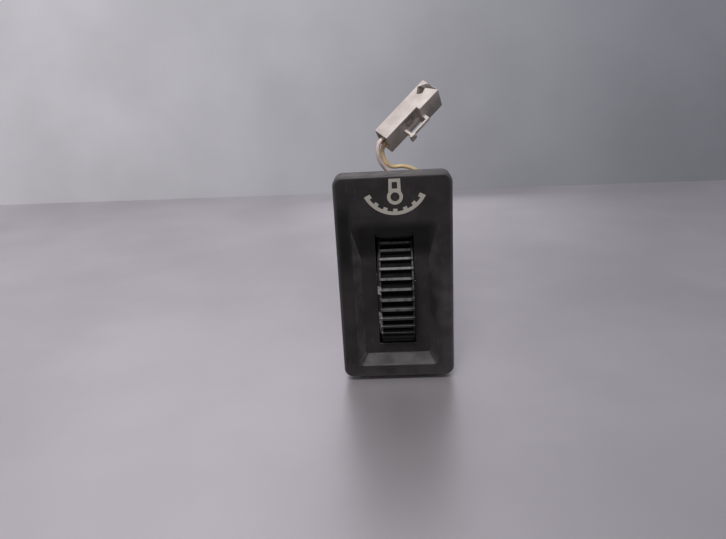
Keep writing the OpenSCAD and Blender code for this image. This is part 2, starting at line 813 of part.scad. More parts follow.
module collector_terminal() {
    riser_z = wheel_z + collector_out_r;
    wall_x = -inner_half_w;
    color("#c8a24a")
    union() {
        axis_ring(collector_x, collector_x + washer_t, collector_in_r, collector_out_r + side_gap);
        translate([wall_x, wheel_y - strip_w / 2, riser_z])
            cube([collector_x + washer_t - wall_x, strip_w, strip_t]);
        translate([wall_x, wheel_y - strip_w / 2, riser_z])
            cube([strip_t, strip_w, upper_strip_z + strip_w / 2 - riser_z]);
        translate([wall_x, wheel_y - strip_w / 2, upper_strip_z - strip_w / 2])
            cube([strip_t, tag_y - wheel_y + strip_w / 2, strip_w]);
        cross_strip(wall_x, far_exit_x + strip_w / 2, upper_strip_z);
        translate([far_exit_x - strip_w / 2, tag_y - strip_t, exit_z - strip_w / 2])
            cube([strip_w, strip_t, upper_strip_z - exit_z + strip_w]);
    }
}

// Two rivets that hold the former, the upper one through its terminal as well
module former_rivets() {
    color("#b9bcc0")
    for (angle = [-rivet_angle, rivet_angle]) {
        face_x = former_x + former_t + (angle > 0 ? strip_t : 0);
        on_axis(angle) translate([0, track_r, 0]) rotate([0, 90, 0]) {
            translate([0, 0, -case_half_w + side_gap]) cylinder(h = rivet_head_t, r = rivet_head_r);
            translate([0, 0, -case_half_w + side_gap]) cylinder(h = face_x + case_half_w, r = rivet_r);
            translate([0, 0, face_x]) cylinder(h = rivet_head_t, r = rivet_head_r);
        }
    }
}

// Four pan-head screws with a cross recess
module cover_screws() {
    color("#9da0a3")
    for (spot = SCREW_SPOTS)
        translate([spot[0], 0, spot[1]]) difference() {
            union() {
                translate([0, cover_y + screw_head_t, 0]) rotate([90, 0, 0])
                    cylinder(h = screw_head_t, r = screw_head_r);
                translate([0, cover_y + cut, 0]) rotate([90, 0, 0])
                    cylinder(h = cover_t + screw_l - screw_tip_gap, r = screw_r);
            }
            for (turn = [0, 90])
                translate([0, cover_y + screw_head_t - screw_recess_d, 0]) rotate([0, turn, 0])
                    translate([-screw_blade_l / 2, 0, -screw_blade_w / 2])
                        cube([screw_blade_l, screw_head_t, screw_blade_w]);
        }
}

// A bent spring leaf: its tail sits in the case's slot, and its hump catches behind the panel
module spring_clip() {
    seat_z = -clip_depth + clip_t / 2;
    translate([-clip_w / 2, 0, 0]) rotate([90, 0, 90]) linear_extrude(clip_w)
        bent_strip([
            [clip_end_y, seat_z], [clip_slot_y - clip_bend, seat_z], [panel_t + clip_bend, clip_rise],
            [panel_t + clip_crest, clip_rise], [panel_t - clip_lead, clip_lead_z]
        ], clip_t);
}

module retaining_clip_top() {
    color("#a4a7ab") on_wall(true) spring_clip();
}

module retaining_clip_bottom() {
    color("#a4a7ab") on_wall(false) spring_clip();
}

module wire_grommet() {
    half = wire_pitch / 2 + grommet_half_h;
    color("#1a1a1a")
    translate([exit_x + wire_pitch / 2, 0, exit_z]) difference() {
        union() {
            for (y = [case_d - grommet_flange_t, cover_y])
                deep(y, y + grommet_flange_t)
                    stadium(half + grommet_flange, grommet_half_h + grommet_flange);
            deep(case_d - cut, cover_y + cut) stadium(half, grommet_half_h);
        }
        for (side = [-1, 1])
            translate([side * wire_pitch / 2, case_d - grommet_flange_t - cut, 0]) rotate([-90, 0, 0])
                cylinder(h = cover_t + 2 * (grommet_flange_t + cut), r = wire_r + wire_hole_gap);
    }
}

// Point on a smooth curve through the route, at a share t of the step from point i to the next
function route_point(route, i, t) =
    let (
        n = len(route) - 1,
        a = route[i],
        b = route[i + 1],
        before = i > 0 ? route[i - 1] : 2 * a - b,
        after = i < n - 1 ? route[i + 2] : 2 * b - a,
        m0 = (b - before) / 2,
        m1 = (after - a) / 2
    )
    (2 * t * t * t - 3 * t * t + 1) * a + (t * t * t - 2 * t * t + t) * m0
    + (3 * t * t - 2 * t * t * t) * b + (t * t * t - t * t) * m1;

// The route with one point added between each two
function dense_route(route) = concat(
    [for (i = [0 : len(route) - 2], t = [0, 0.5]) route_point(route, i, t)],
    [route[len(route) - 1]]
);

function unit(v) = v / norm(v);

// Direction of the route at one of its points
function heading(points, i) =
    unit(points[min(i + 1, len(points) - 1)] - points[max(i - 1, 0)]);

// A plain round tube swept along a route
module wire_tube(route) {
    sides = 8;
    points = dense_route(route);
    rings = [
        for (i = [0 : len(points) - 1])
            let (
                along = heading(points, i),
                across_dir = unit(cross(along, [1, 0.2, 0.1])),
                up_dir = cross(along, across_dir)
            )
            [for (j = [0 : sides - 1])
                points[i] + wire_r * (cos(360 * j / sides) * across_dir + sin(360 * j / sides) * up_dir)]
    ];
    polyhedron(points = [for (ring = rings) each ring], faces = ring_faces(len(rings), sides));
}

module wire_white() {
    color("#c9b9b0") wire_tube([for (p = WHITE_STEPS) WIRE_START + p]);
}

module wire_yellow() {
    color("#b9ab7e") wire_tube([for (p = YELLOW_STEPS) WIRE_START + p]);
}

// Places a child in the connector's own frame: X forward to the mating end, Z up, rear upper edge at zero
module in_connector() {
    translate(connector_at) rotate(connector_turn) children();
}

// Heights of the two ways below the connector's top
function way_z(upper) = -connector_h / 2 + (upper ? 1 : -1) * way_pitch / 2;

module connector_housing() {
    color("#cfc8c6")
    in_connector() difference() {
        union() {
            translate([0, near_y, -connector_h]) cube([hood_x + cut, connector_w, connector_h]);
            translate([hood_x, hood_near_y, -connector_h]) cube([hood_l, hood_w, connector_h]);
            lock_lever();
        }
        translate([floor_x, hood_near_y + hood_wall, -connector_h + hood_wall])
            cube([hood_d + cut, hood_w - 2 * hood_wall, connector_h - 2 * hood_wall]);
        translate([connector_l, 0, -hood_wall - cut])
            linear_extrude(hood_wall + 2 * cut) polygon(LOCK_WINDOW);
        translate([-cut, near_y + rear_wall, -connector_h + rear_wall])
            cube([rear_pocket_d + cut, connector_w - 2 * rear_wall, connector_h - 2 * rear_wall]);
        for (upper = [false, true])
            translate([0, 0, way_z(upper)]) {
                rotate([0, 90, 0]) cylinder(h = rear_cavity_d, r = rear_cavity_r);
                translate([rear_cavity_d - cut, -tab_w / 2 - contact_gap, -tab_t / 2 - contact_gap])
                    cube([connector_l, tab_w + 2 * contact_gap, tab_t + 2 * contact_gap]);
            }
        translate([side_recess_x, near_y - cut, -connector_h + side_recess_foot])
            cube([hood_x - side_recess_x, side_recess_d + cut, side_recess_h]);
        retainer_block(contact_gap);
    }
}

// Lever on the hood's side: a root on the hood, a free arm, a bar across its rear end and a thumb pad
module lock_lever() {
    outer_y = hood_near_y - lever_reach;
    low_z = -lever_drop - lever_h;
    translate([lever_root_x - lever_root_l, outer_y, low_z])
        cube([lever_root_l, lever_reach + cut, lever_h]);
    translate([lever_rear_x, outer_y, low_z])
        cube([lever_root_x - lever_rear_x, lever_t, lever_h]);
    translate([lever_rear_x, outer_y, low_z])
        cube([lever_bar_l, near_y - lever_bar_gap - outer_y, lever_h]);
    translate([lever_rear_x - pad_step, outer_y - pad_proud, -lever_drop - pad_h])
        cube([pad_l, pad_proud + lever_t, pad_h]);
}

// The wedge that locks the contacts, or the pocket that it sits in when grown by a gap
module retainer_block(gap) {
    out_y = near_y + side_recess_d - retainer_proud;
    translate([retainer_x - gap, out_y, -retainer_drop - retainer_h - gap])
        cube([retainer_l + 2 * gap, retainer_proud + retainer_sunk, retainer_h + 2 * gap]);
}

// The small wedge that locks the contacts in the housing, pushed into its side
module connector_retainer() {
    color("#8d898a") in_connector() retainer_block(0);
}

// One contact: a flat tab in the hood and a crimp barrel round the end of its wire
module contact_tab(upper) {
    barrel_x = rear_cavity_d - contact_gap - barrel_l;
    in_connector() union() {
        translate([rear_cavity_d - barrel_l / 2, -tab_w / 2, way_z(upper) - tab_t / 2])
            cube([floor_x + tab_reach - rear_cavity_d + barrel_l / 2, tab_w, tab_t]);
        translate([barrel_x, 0, way_z(upper)]) rotate([0, 90, 0])
            cylinder(h = barrel_l, r = wire_r + barrel_wall);
    }
}

module connector_tab_upper() {
    color("#c2c4c6") contact_tab(true);
}

module connector_tab_lower() {
    color("#c2c4c6") contact_tab(false);
}

bezel();
case();
rear_cover();
thumbwheel();
wheel_axle();
wave_washer();
thrust_washer();
wiper();
resistor_former();
resistance_winding();
winding_terminal();
collector_terminal();
former_rivets();
cover_screws();
retaining_clip_top();
retaining_clip_bottom();
wire_grommet();
wire_white();
wire_yellow();
connector_housing();
connector_retainer();
connector_tab_upper();
connector_tab_lower();
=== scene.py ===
"""Looks of a dash light dimmer switch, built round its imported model.

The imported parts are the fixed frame: +X is to the right seen from the front, +Y goes into the dash and +Z
is up, and the origin is the middle of the bezel's back. Sizes in the classes are millimetres, as in the
part's source, and are turned into the scene's metres where a mesh, a curve or a lamp is made. Scales of
patterns are features per metre.
"""

import logging
import math
from abc import ABC, abstractmethod
from dataclasses import dataclass, field
from enum import Enum
from typing import ClassVar, Iterable, Sequence

import bmesh
import bpy
from bmesh.types import BMEdge, BMesh, BMVert
from bpy.types import ID, Curve, Material, Mesh, Node, NodeOutputs, NodeSocket, NodeTree, Object
from mathutils import Matrix, Vector


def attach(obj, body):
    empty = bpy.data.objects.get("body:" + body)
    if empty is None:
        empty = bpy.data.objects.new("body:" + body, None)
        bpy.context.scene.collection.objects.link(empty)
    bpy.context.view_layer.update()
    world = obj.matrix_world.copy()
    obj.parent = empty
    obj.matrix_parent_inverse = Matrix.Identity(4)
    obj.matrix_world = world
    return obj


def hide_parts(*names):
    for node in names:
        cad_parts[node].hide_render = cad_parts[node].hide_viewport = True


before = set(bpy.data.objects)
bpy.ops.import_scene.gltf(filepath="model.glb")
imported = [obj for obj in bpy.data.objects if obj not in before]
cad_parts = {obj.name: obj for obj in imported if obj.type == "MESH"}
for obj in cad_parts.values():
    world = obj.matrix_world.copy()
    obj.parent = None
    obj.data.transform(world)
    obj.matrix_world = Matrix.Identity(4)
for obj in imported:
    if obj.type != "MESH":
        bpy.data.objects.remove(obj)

LOG = logging.getLogger("dimmer")
MM = 0.001

# A copied mesh is merged within WELD, and its faces that turn less than FLAT_ANGLE are joined
WELD = 0.002 * MM
FLAT_ANGLE = math.radians(0.6)

# Angles above which an edge stays sharp to the eye, and above which the mould leaves it rounded
CREASE_ANGLE = math.radians(32.0)
ROUNDED_ANGLE = math.radians(40.0)

# A rounding has no room beside an edge of fewer widths, unless that edge runs along it by this cosine
SHORT_WIDTHS = 2.1
ALONG_COSINE = 0.8

Colour = tuple[float, float, float]
Point = tuple[float, float, float]
Span = tuple[float, float]

# A level is a number or an output that gives one, and a value can also be a vector or a colour
Level = NodeSocket | float
Value = NodeSocket | float | Sequence[float]

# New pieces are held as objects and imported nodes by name
Pieces = list[Object | str]


class Body(Enum):
    """The two bodies that pieces ride on."""

    SWITCH = "switch_body"
    WHEEL = "wheel"


class Effect(Enum):
    """The effects that more than one finish uses, each by the name of its node group."""

    WORN_EDGES = "worn_edges"
    DUST = "settled_dust"
    GRAIN = "moulded_grain"
    SCRATCHES = "fine_scratches"


class Insulation(Enum):
    """Colour of a wire's insulation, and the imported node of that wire."""

    WHITE = "wire_white"
    YELLOW = "wire_yellow"


class Slot(Enum):
    """Names of material slots for the pieces that are made here; no piece is given one by them."""

    BEZEL = "bezel_plastic"
    CASE = "case_plastic"
    STEEL = "steel"
    GROMMET = "grommet_rubber"
    WHEEL = "wheel_plastic"
    CONNECTOR = "connector_plastic"
    RETAINER = "retainer_plastic"
    WHITE_WIRE = "white_insulation"
    YELLOW_WIRE = "yellow_insulation"


def metres(point: Sequence[float]) -> Vector:
    """Turn a point in millimetres into metres."""
    return Vector(point) * MM


class ShaderGraph:
    """A node tree, with short calls that add its nodes and join them."""

    def __init__(self, tree: NodeTree) -> None:
        """Take the tree to build in."""
        self.tree = tree

    def feed(self, socket: NodeSocket, value: Value) -> None:
        """Join an input to another node's output, or give it a plain value.

        Args:
            socket: The input.
            value: An output, a number, a vector, or a colour without alpha.
        """
        if isinstance(value, NodeSocket):
            self.tree.links.new(value, socket)
        elif socket.type == "RGBA":
            socket.default_value = (*value, 1.0)
        else:
            socket.default_value = value

    def node(self, kind: str, inputs: dict[str | int, Value] | None = None, **settings: object) -> Node:
        """Add a node.

        Args:
            kind: Blender's name of the node's class.
            inputs: Values or outputs for its inputs, by name or number.
            settings: Properties of the node.

        Returns:
            The new node.
        """
        node = self.tree.nodes.new(kind)
        for name, value in settings.items():
            setattr(node, name, value)
        for key, value in (inputs or {}).items():
            self.feed(node.inputs[key], value)
        return node

    def effect(self, effect: Effect, **values: Level) -> NodeOutputs:
        """Place an effect's group, with values for its inputs by name, and return its outputs."""
        group = bpy.data.node_groups[effect.value]
        return self.node("ShaderNodeGroup", values, node_tree=group).outputs

    def maths(self, operation: str, *terms: Level, clamp: bool = False) -> NodeSocket:
        """Add a Math node and return its output."""
        inputs = dict(enumerate(terms))
        return self.node("ShaderNodeMath", inputs, operation=operation, use_clamp=clamp).outputs[0]

    def vector(self, operation: str, *terms: Value) -> NodeSocket:
        """Add a Vector Math node and return its vector."""
        return self.node("ShaderNodeVectorMath", dict(enumerate(terms)), operation=operation).outputs[0]

    def length(self, vector: Value) -> NodeSocket:
        """Return the length of a vector."""
        return self.node("ShaderNodeVectorMath", {0: vector}, operation="LENGTH").outputs["Value"]

    def scaled(self, colour: Value, level: Level) -> NodeSocket:
        """Return a colour times a level."""
        inputs = {0: colour, "Scale": level}
        return self.node("ShaderNodeVectorMath", inputs, operation="SCALE").outputs[0]

    def span(
        self, value: Level, low: float, high: float, start: float = 0.0, end: float = 1.0
    ) -> NodeSocket:
        """Map a value from the span low to high to the span start to end, smoothly and within its ends."""
        inputs = {0: value, 1: low, 2: high, 3: start, 4: end}
        return self.node("ShaderNodeMapRange", inputs, interpolation_type="SMOOTHSTEP").outputs[0]

    def step(
        self, distance: Level, middle: float, blur: float, start: float = 0.0, end: float = 1.0
    ) -> NodeSocket:
        """Return a soft step of a distance in metres, from its middle and half width in millimetres."""
        return self.span(distance, (middle - blur) * MM, (middle + blur) * MM, start, end)

    def blend(self, share: Level, first: Value, second: Value) -> NodeSocket:
        """Mix two colours by the share of the second, and return the mix."""
        return self.node("ShaderNodeMix", {0: share, 6: first, 7: second}, data_type="RGBA").outputs[2]

    def place(self, output: str = "Object") -> NodeSocket:
        """Return an output of the piece's own texture coordinates."""
        return self.node("ShaderNodeTexCoord").outputs[output]

    def sides(self, output: str = "Object") -> NodeOutputs:
        """Return X, Y and Z of an output of the piece's own texture coordinates."""
        return self.node("ShaderNodeSeparateXYZ", {0: self.place(output)}).outputs

    def mapped(self, turn: Point, scale: Point) -> NodeSocket:
        """Return the piece's own coordinates, turned in degrees and scaled."""
        inputs = {0: self.place(), "Rotation": [math.radians(a) for a in turn], "Scale": scale}
        return self.node("ShaderNodeMapping", inputs).outputs[0]

    def noise(self, scale: Level, detail: float = 2.0, vector: Value | None = None) -> NodeSocket:
        """Return a noise of a scale and a number of octaves, on given coordinates or the piece's own."""
        inputs = {"Vector": self.place() if vector is None else vector, "Scale": scale, "Detail": detail}
        return self.node("ShaderNodeTexNoise", inputs).outputs["Fac"]

    def bump(self, height: Level, depth: float) -> NodeSocket:
        """Return the normal of a surface with a pattern's height, as deep as given in millimetres."""
        inputs = {"Height": height, "Distance": depth * MM, "Strength": 1.0}
        return self.node("ShaderNodeBump", inputs).outputs[0]


class EffectGroup(ShaderGraph):
    """A shader node group with named inputs and outputs, all of them numbers."""

    def __init__(self, effect: Effect, inputs: dict[str, float], outputs: Iterable[str]) -> None:
        """Make the empty group.

        Args:
            effect: The effect that it is for.
            inputs: Default of each input, by name.
            outputs: Names of the outputs.
        """
        super().__init__(bpy.data.node_groups.new(effect.value, "ShaderNodeTree"))
        for label, value in inputs.items():
            socket = self.tree.interface.new_socket(name=label, in_out="INPUT", socket_type="NodeSocketFloat")
            socket.default_value = value
        for label in outputs:
            self.tree.interface.new_socket(name=label, in_out="OUTPUT", socket_type="NodeSocketFloat")
        self.given = self.tree.nodes.new("NodeGroupInput").outputs
        self.result = self.tree.nodes.new("NodeGroupOutput").inputs


@dataclass(frozen=True)
class Patches:
    """Soft patches of a noise: its scale and octaves, and the values where a patch begins and is full."""

    scale: float
    detail: float = 3.0
    begun: float = 0.3
    full: float = 0.7

    def cut(self, graph: ShaderGraph, start: float = 0.0, end: float = 1.0) -> NodeSocket:
        """Return a level that is start between the patches and end in them."""
        return graph.span(graph.noise(self.scale, self.detail), self.begun, self.full, start, end)


@dataclass(frozen=True)
class Streaks:
    """Long thin streaks of a noise: its turn and scales, and the values where a streak begins and is full."""

    turn: Point
    scale: Point
    begun: float
    full: float

    def cut(self, graph: ShaderGraph) -> NodeSocket:
        """Return the mask of the streaks."""
        return graph.span(graph.noise(1.0, 1.0, graph.mapped(self.turn, self.scale)), self.begun, self.full)


class Effects:
    """The builder of the effects' node groups.

    LIES_FROM and SHELTERED_BELOW are upward parts of a surface's normal. Settled dust grows from the first
    to 1, and the film thins to SHELTERED_FILM from 0 down to the second. A least level is what is left where
    a pattern breaks up a mask.
    """

    BEVEL_SAMPLES: ClassVar[int] = 4
    EDGE_BREAKS: ClassVar[Span] = (0.3, 0.6)
    EDGE_LEAST: ClassVar[float] = 0.25
    LIES_FROM: ClassVar[float] = 0.7
    SHELTERED_BELOW: ClassVar[float] = -0.3
    SHELTERED_FILM: ClassVar[float] = 0.15
    EVEN_FILM: ClassVar[float] = 0.6
    SPECKS: ClassVar[Patches] = Patches(9000.0, 1.0, 0.62, 0.72)
    DUST_BREAKS: ClassVar[Span] = (0.35, 0.7)
    DUST_LEAST: ClassVar[float] = 0.35
    CELL_SHARE: ClassVar[float] = 0.6
    FINE_SHARE: ClassVar[float] = 0.4
    STEEP: ClassVar[Streaks] = Streaks((0, 24, 0), (5200, 5200, 260), 0.66, 0.72)
    FLAT: ClassVar[Streaks] = Streaks((0, -61, 0), (6100, 6100, 330), 0.68, 0.74)
    SCRATCHED: ClassVar[Span] = (0.5, 0.62)

    def build(self) -> None:
        """Make the groups, which the finishes look up by name."""
        self.worn_edges()
        self.dust()
        self.grain()
        self.scratches()

    def worn_edges(self) -> None:
        """Make the mask of rubbed edges, where a rounded normal departs from the surface's own."""
        defaults = {"Radius": 0.0003, "Low": 0.02, "High": 0.3, "Breakup": 900.0}
        group = EffectGroup(Effect.WORN_EDGES, defaults, ["Mask"])
        radius = {"Radius": group.given["Radius"]}
        rounded = group.node("ShaderNodeBevel", radius, samples=self.BEVEL_SAMPLES).outputs[0]
        own = group.node("ShaderNodeNewGeometry").outputs["Normal"]
        facing = group.node("ShaderNodeVectorMath", {0: rounded, 1: own}, operation="DOT_PRODUCT")
        turned = group.maths("SUBTRACT", 1.0, facing.outputs["Value"])
        limits = {1: group.given["Low"], 2: group.given["High"]}
        edge = group.node("ShaderNodeMapRange", {0: turned, **limits}).outputs[0]
        broken = group.span(group.noise(group.given["Breakup"], 3.0), *self.EDGE_BREAKS, self.EDGE_LEAST, 1.0)
        group.feed(group.result["Mask"], group.maths("MULTIPLY", edge, broken, clamp=True))

    def dust(self) -> None:
        """Make the mask of dust: thick on surfaces that face up, and a thin uneven film elsewhere."""
        group = EffectGroup(Effect.DUST, {"Settled": 0.3, "Film": 0.05, "Patches": 180.0}, ["Mask"])
        upward = group.sides("Normal")[2]
        settled = group.maths("MULTIPLY", group.span(upward, self.LIES_FROM, 1.0), group.given["Settled"])
        speckled = group.maths("ADD", self.EVEN_FILM, self.SPECKS.cut(group))
        film = group.maths("MULTIPLY", group.given["Film"], speckled)
        open_share = group.span(upward, self.SHELTERED_BELOW, 0.0, self.SHELTERED_FILM, 1.0)
        film = group.maths("MULTIPLY", film, open_share)
        patches = group.noise(group.given["Patches"], 5.0)
        patches = group.span(patches, *self.DUST_BREAKS, self.DUST_LEAST, 1.0)
        total = group.maths("MULTIPLY", patches, group.maths("ADD", settled, film), clamp=True)
        group.feed(group.result["Mask"], total)

    def grain(self) -> None:
        """Make the moulded grain: fine cells over slow waves, as a height and as a shade."""
        group = EffectGroup(Effect.GRAIN, {"Cells": 4200.0, "Waves": 260.0}, ["Height", "Shade"])
        inputs = {"Vector": group.place(), "Scale": group.given["Cells"]}
        cells = group.node("ShaderNodeTexVoronoi", inputs, feature="SMOOTH_F1").outputs["Distance"]
        coarse = group.maths("MULTIPLY", cells, self.CELL_SHARE)
        fine = group.maths("MULTIPLY", group.noise(group.given["Cells"]), self.FINE_SHARE)
        group.feed(group.result["Height"], group.maths("ADD", coarse, fine))
        group.feed(group.result["Shade"], group.maths("ADD", fine, group.noise(group.given["Waves"])))

    def scratches(self) -> None:
        """Make the mask of fine scratches: two sets of long thin streaks, in patches."""
        group = EffectGroup(Effect.SCRATCHES, {"Amount": 0.3, "Patches": 140.0}, ["Mask"])
        streaks = group.maths("ADD", self.STEEP.cut(group), self.FLAT.cut(group), clamp=True)
        where = group.span(group.noise(group.given["Patches"]), *self.SCRATCHED)
        patched = group.maths("MULTIPLY", streaks, where)
        mask = group.maths("MULTIPLY", patched, group.given["Amount"], clamp=True)
        group.feed(group.result["Mask"], mask)


@dataclass(frozen=True)
class Zone:
    """A patch of the front view with soft sides: its middle lines and the half width of each blur."""

    left: float
    right: float
    foot: float
    head: float
    blur_x: float
    blur_z: float

    def mask(self, graph: ShaderGraph) -> NodeSocket:
        """Return the mask of the patch, on the piece's own coordinates.

        Args:
            graph: The material's graph.

        Returns:
            The mask, from 0 to 1.
        """
        x, _, z = graph.sides()
        across = (x, self.left, self.right, self.blur_x)
        along = (z, self.foot, self.head, self.blur_z)
        level = 1.0
        for side, low, high, blur in (across, along):
            level = graph.maths("MULTIPLY", level, graph.step(side, low, blur))
            level = graph.maths("MULTIPLY", level, graph.step(side, high, blur, 1.0, 0.0))
        return level


@dataclass(frozen=True)
class Finish(ABC):
    """What every finish has: its name, its colour, and how rough and how glossy it is."""

    ROUGH_SPREAD: ClassVar[float] = 0.05
    ROUGH_PATCHES: ClassVar[Patches] = Patches(300.0)

    name: str
    colour: Colour
    roughness: float
    gloss: float = field(default=0.5, kw_only=True)

    @abstractmethod
    def coat(self, graph: ShaderGraph) -> dict[str, Value]:
        """Return what the shader is given.

        Args:
            graph: The material's graph.

        Returns:
            Values and outputs by the names of its inputs.
        """

    def material(self) -> Material:
        """Make the material.

        Returns:
            The finished material.
        """
        material = bpy.data.materials.new(self.name)
        material.use_nodes = True
        graph = ShaderGraph(material.node_tree)
        shader = material.node_tree.nodes["Principled BSDF"]
        shader.inputs["Specular IOR Level"].default_value = self.gloss
        for name, value in self.coat(graph).items():
            graph.feed(shader.inputs[name], value)
        return material

    def mottled(self, graph: ShaderGraph, share: Level, start: float, end: float) -> NodeSocket:
        """Return the finish's colour at a level that a share moves from start to end."""
        return graph.blend(share, [c * start for c in self.colour], [min(1.0, c * end) for c in self.colour])

    def roughened(self, graph: ShaderGraph) -> NodeSocket:
        """Return the roughness, varied in slow patches."""
        spread = self.ROUGH_SPREAD
        return self.ROUGH_PATCHES.cut(graph, self.roughness - spread, self.roughness + spread)


@dataclass(frozen=True)
class PlasticFinish(Finish):
    """Moulded plastic with grain, rubbed edges, fine scratches and dust."""

    SHADES: ClassVar[Span] = (0.86, 1.16)
    SHADE_SPAN: ClassVar[Span] = (0.4, 1.0)
    DUST_DULLING: ClassVar[float] = 0.35
    # Rise of roughness where the colour is darkened, as by the painted shade in the bezel's recess and the
    # wheel's pockets
    DARKENED_DULLING: ClassVar[float] = 0.5

    # Pale wear; on the bezel's outline underside and the wheel's rib tips it also carries a painted
    # highlight.
    worn_and_highlight_colour: Colour = (0.09, 0.09, 0.09)
    dust_colour: Colour = (0.335, 0.306, 0.318)
    grain_cells: float = 4200.0
    grain_depth: float = 0.012
    edge_radius: float = 0.3
    wear: float = 0.5
    settled: float = 0.3
    film: float = 0.05
    scratch: float = 0.2

    def wear_and_highlight_mask(self, graph: ShaderGraph) -> NodeSocket:
        """Return the mask of what is rubbed: the edges and the scratches.

        Args:
            graph: The material's graph.

        Returns:
            The mask, from 0 to 1.
        """
        edges = graph.effect(Effect.WORN_EDGES, Radius=self.edge_radius * MM)["Mask"]
        scratches = graph.effect(Effect.SCRATCHES, Amount=self.scratch)["Mask"]
        return graph.maths("ADD", graph.maths("MULTIPLY", edges, self.wear), scratches, clamp=True)

    def finished(self, graph: ShaderGraph, colour: NodeSocket) -> NodeSocket:
        """Return the colour with what only this finish adds to it: nothing here."""
        return colour

    def dulled(self, graph: ShaderGraph, rough: NodeSocket) -> NodeSocket:
        """Return the roughness with what only this finish adds to it: nothing here."""
        return rough

    def film_and_light_share(self, graph: ShaderGraph) -> Level:
        """Return how thick the film of dust is: the same all over."""
        return self.film

    def coat(self, graph: ShaderGraph) -> dict[str, Value]:
        """Return what the shader is given.

        Args:
            graph: The material's graph.

        Returns:
            Values and outputs by the names of its inputs.
        """
        grain = graph.effect(Effect.GRAIN, Cells=self.grain_cells)
        # On the bezel this film also carries painted light on the recess's side walls and the foot band.
        dust = graph.effect(Effect.DUST, Settled=self.settled, Film=self.film_and_light_share(graph))["Mask"]
        body = self.mottled(graph, graph.span(grain["Shade"], *self.SHADE_SPAN), *self.SHADES)
        rubbed_and_lit = graph.blend(self.wear_and_highlight_mask(graph), body, self.worn_and_highlight_colour)
        dust_and_light = graph.blend(dust, rubbed_and_lit, self.dust_colour)
        dull = graph.maths("MULTIPLY", dust, self.DUST_DULLING)
        rough = graph.maths("ADD", self.roughened(graph), dull, clamp=True)
        return {
            "Base Color": self.finished(graph, dust_and_light),
            "Roughness": self.dulled(graph, rough),
            "Normal": graph.bump(grain["Height"], self.grain_depth),
        }


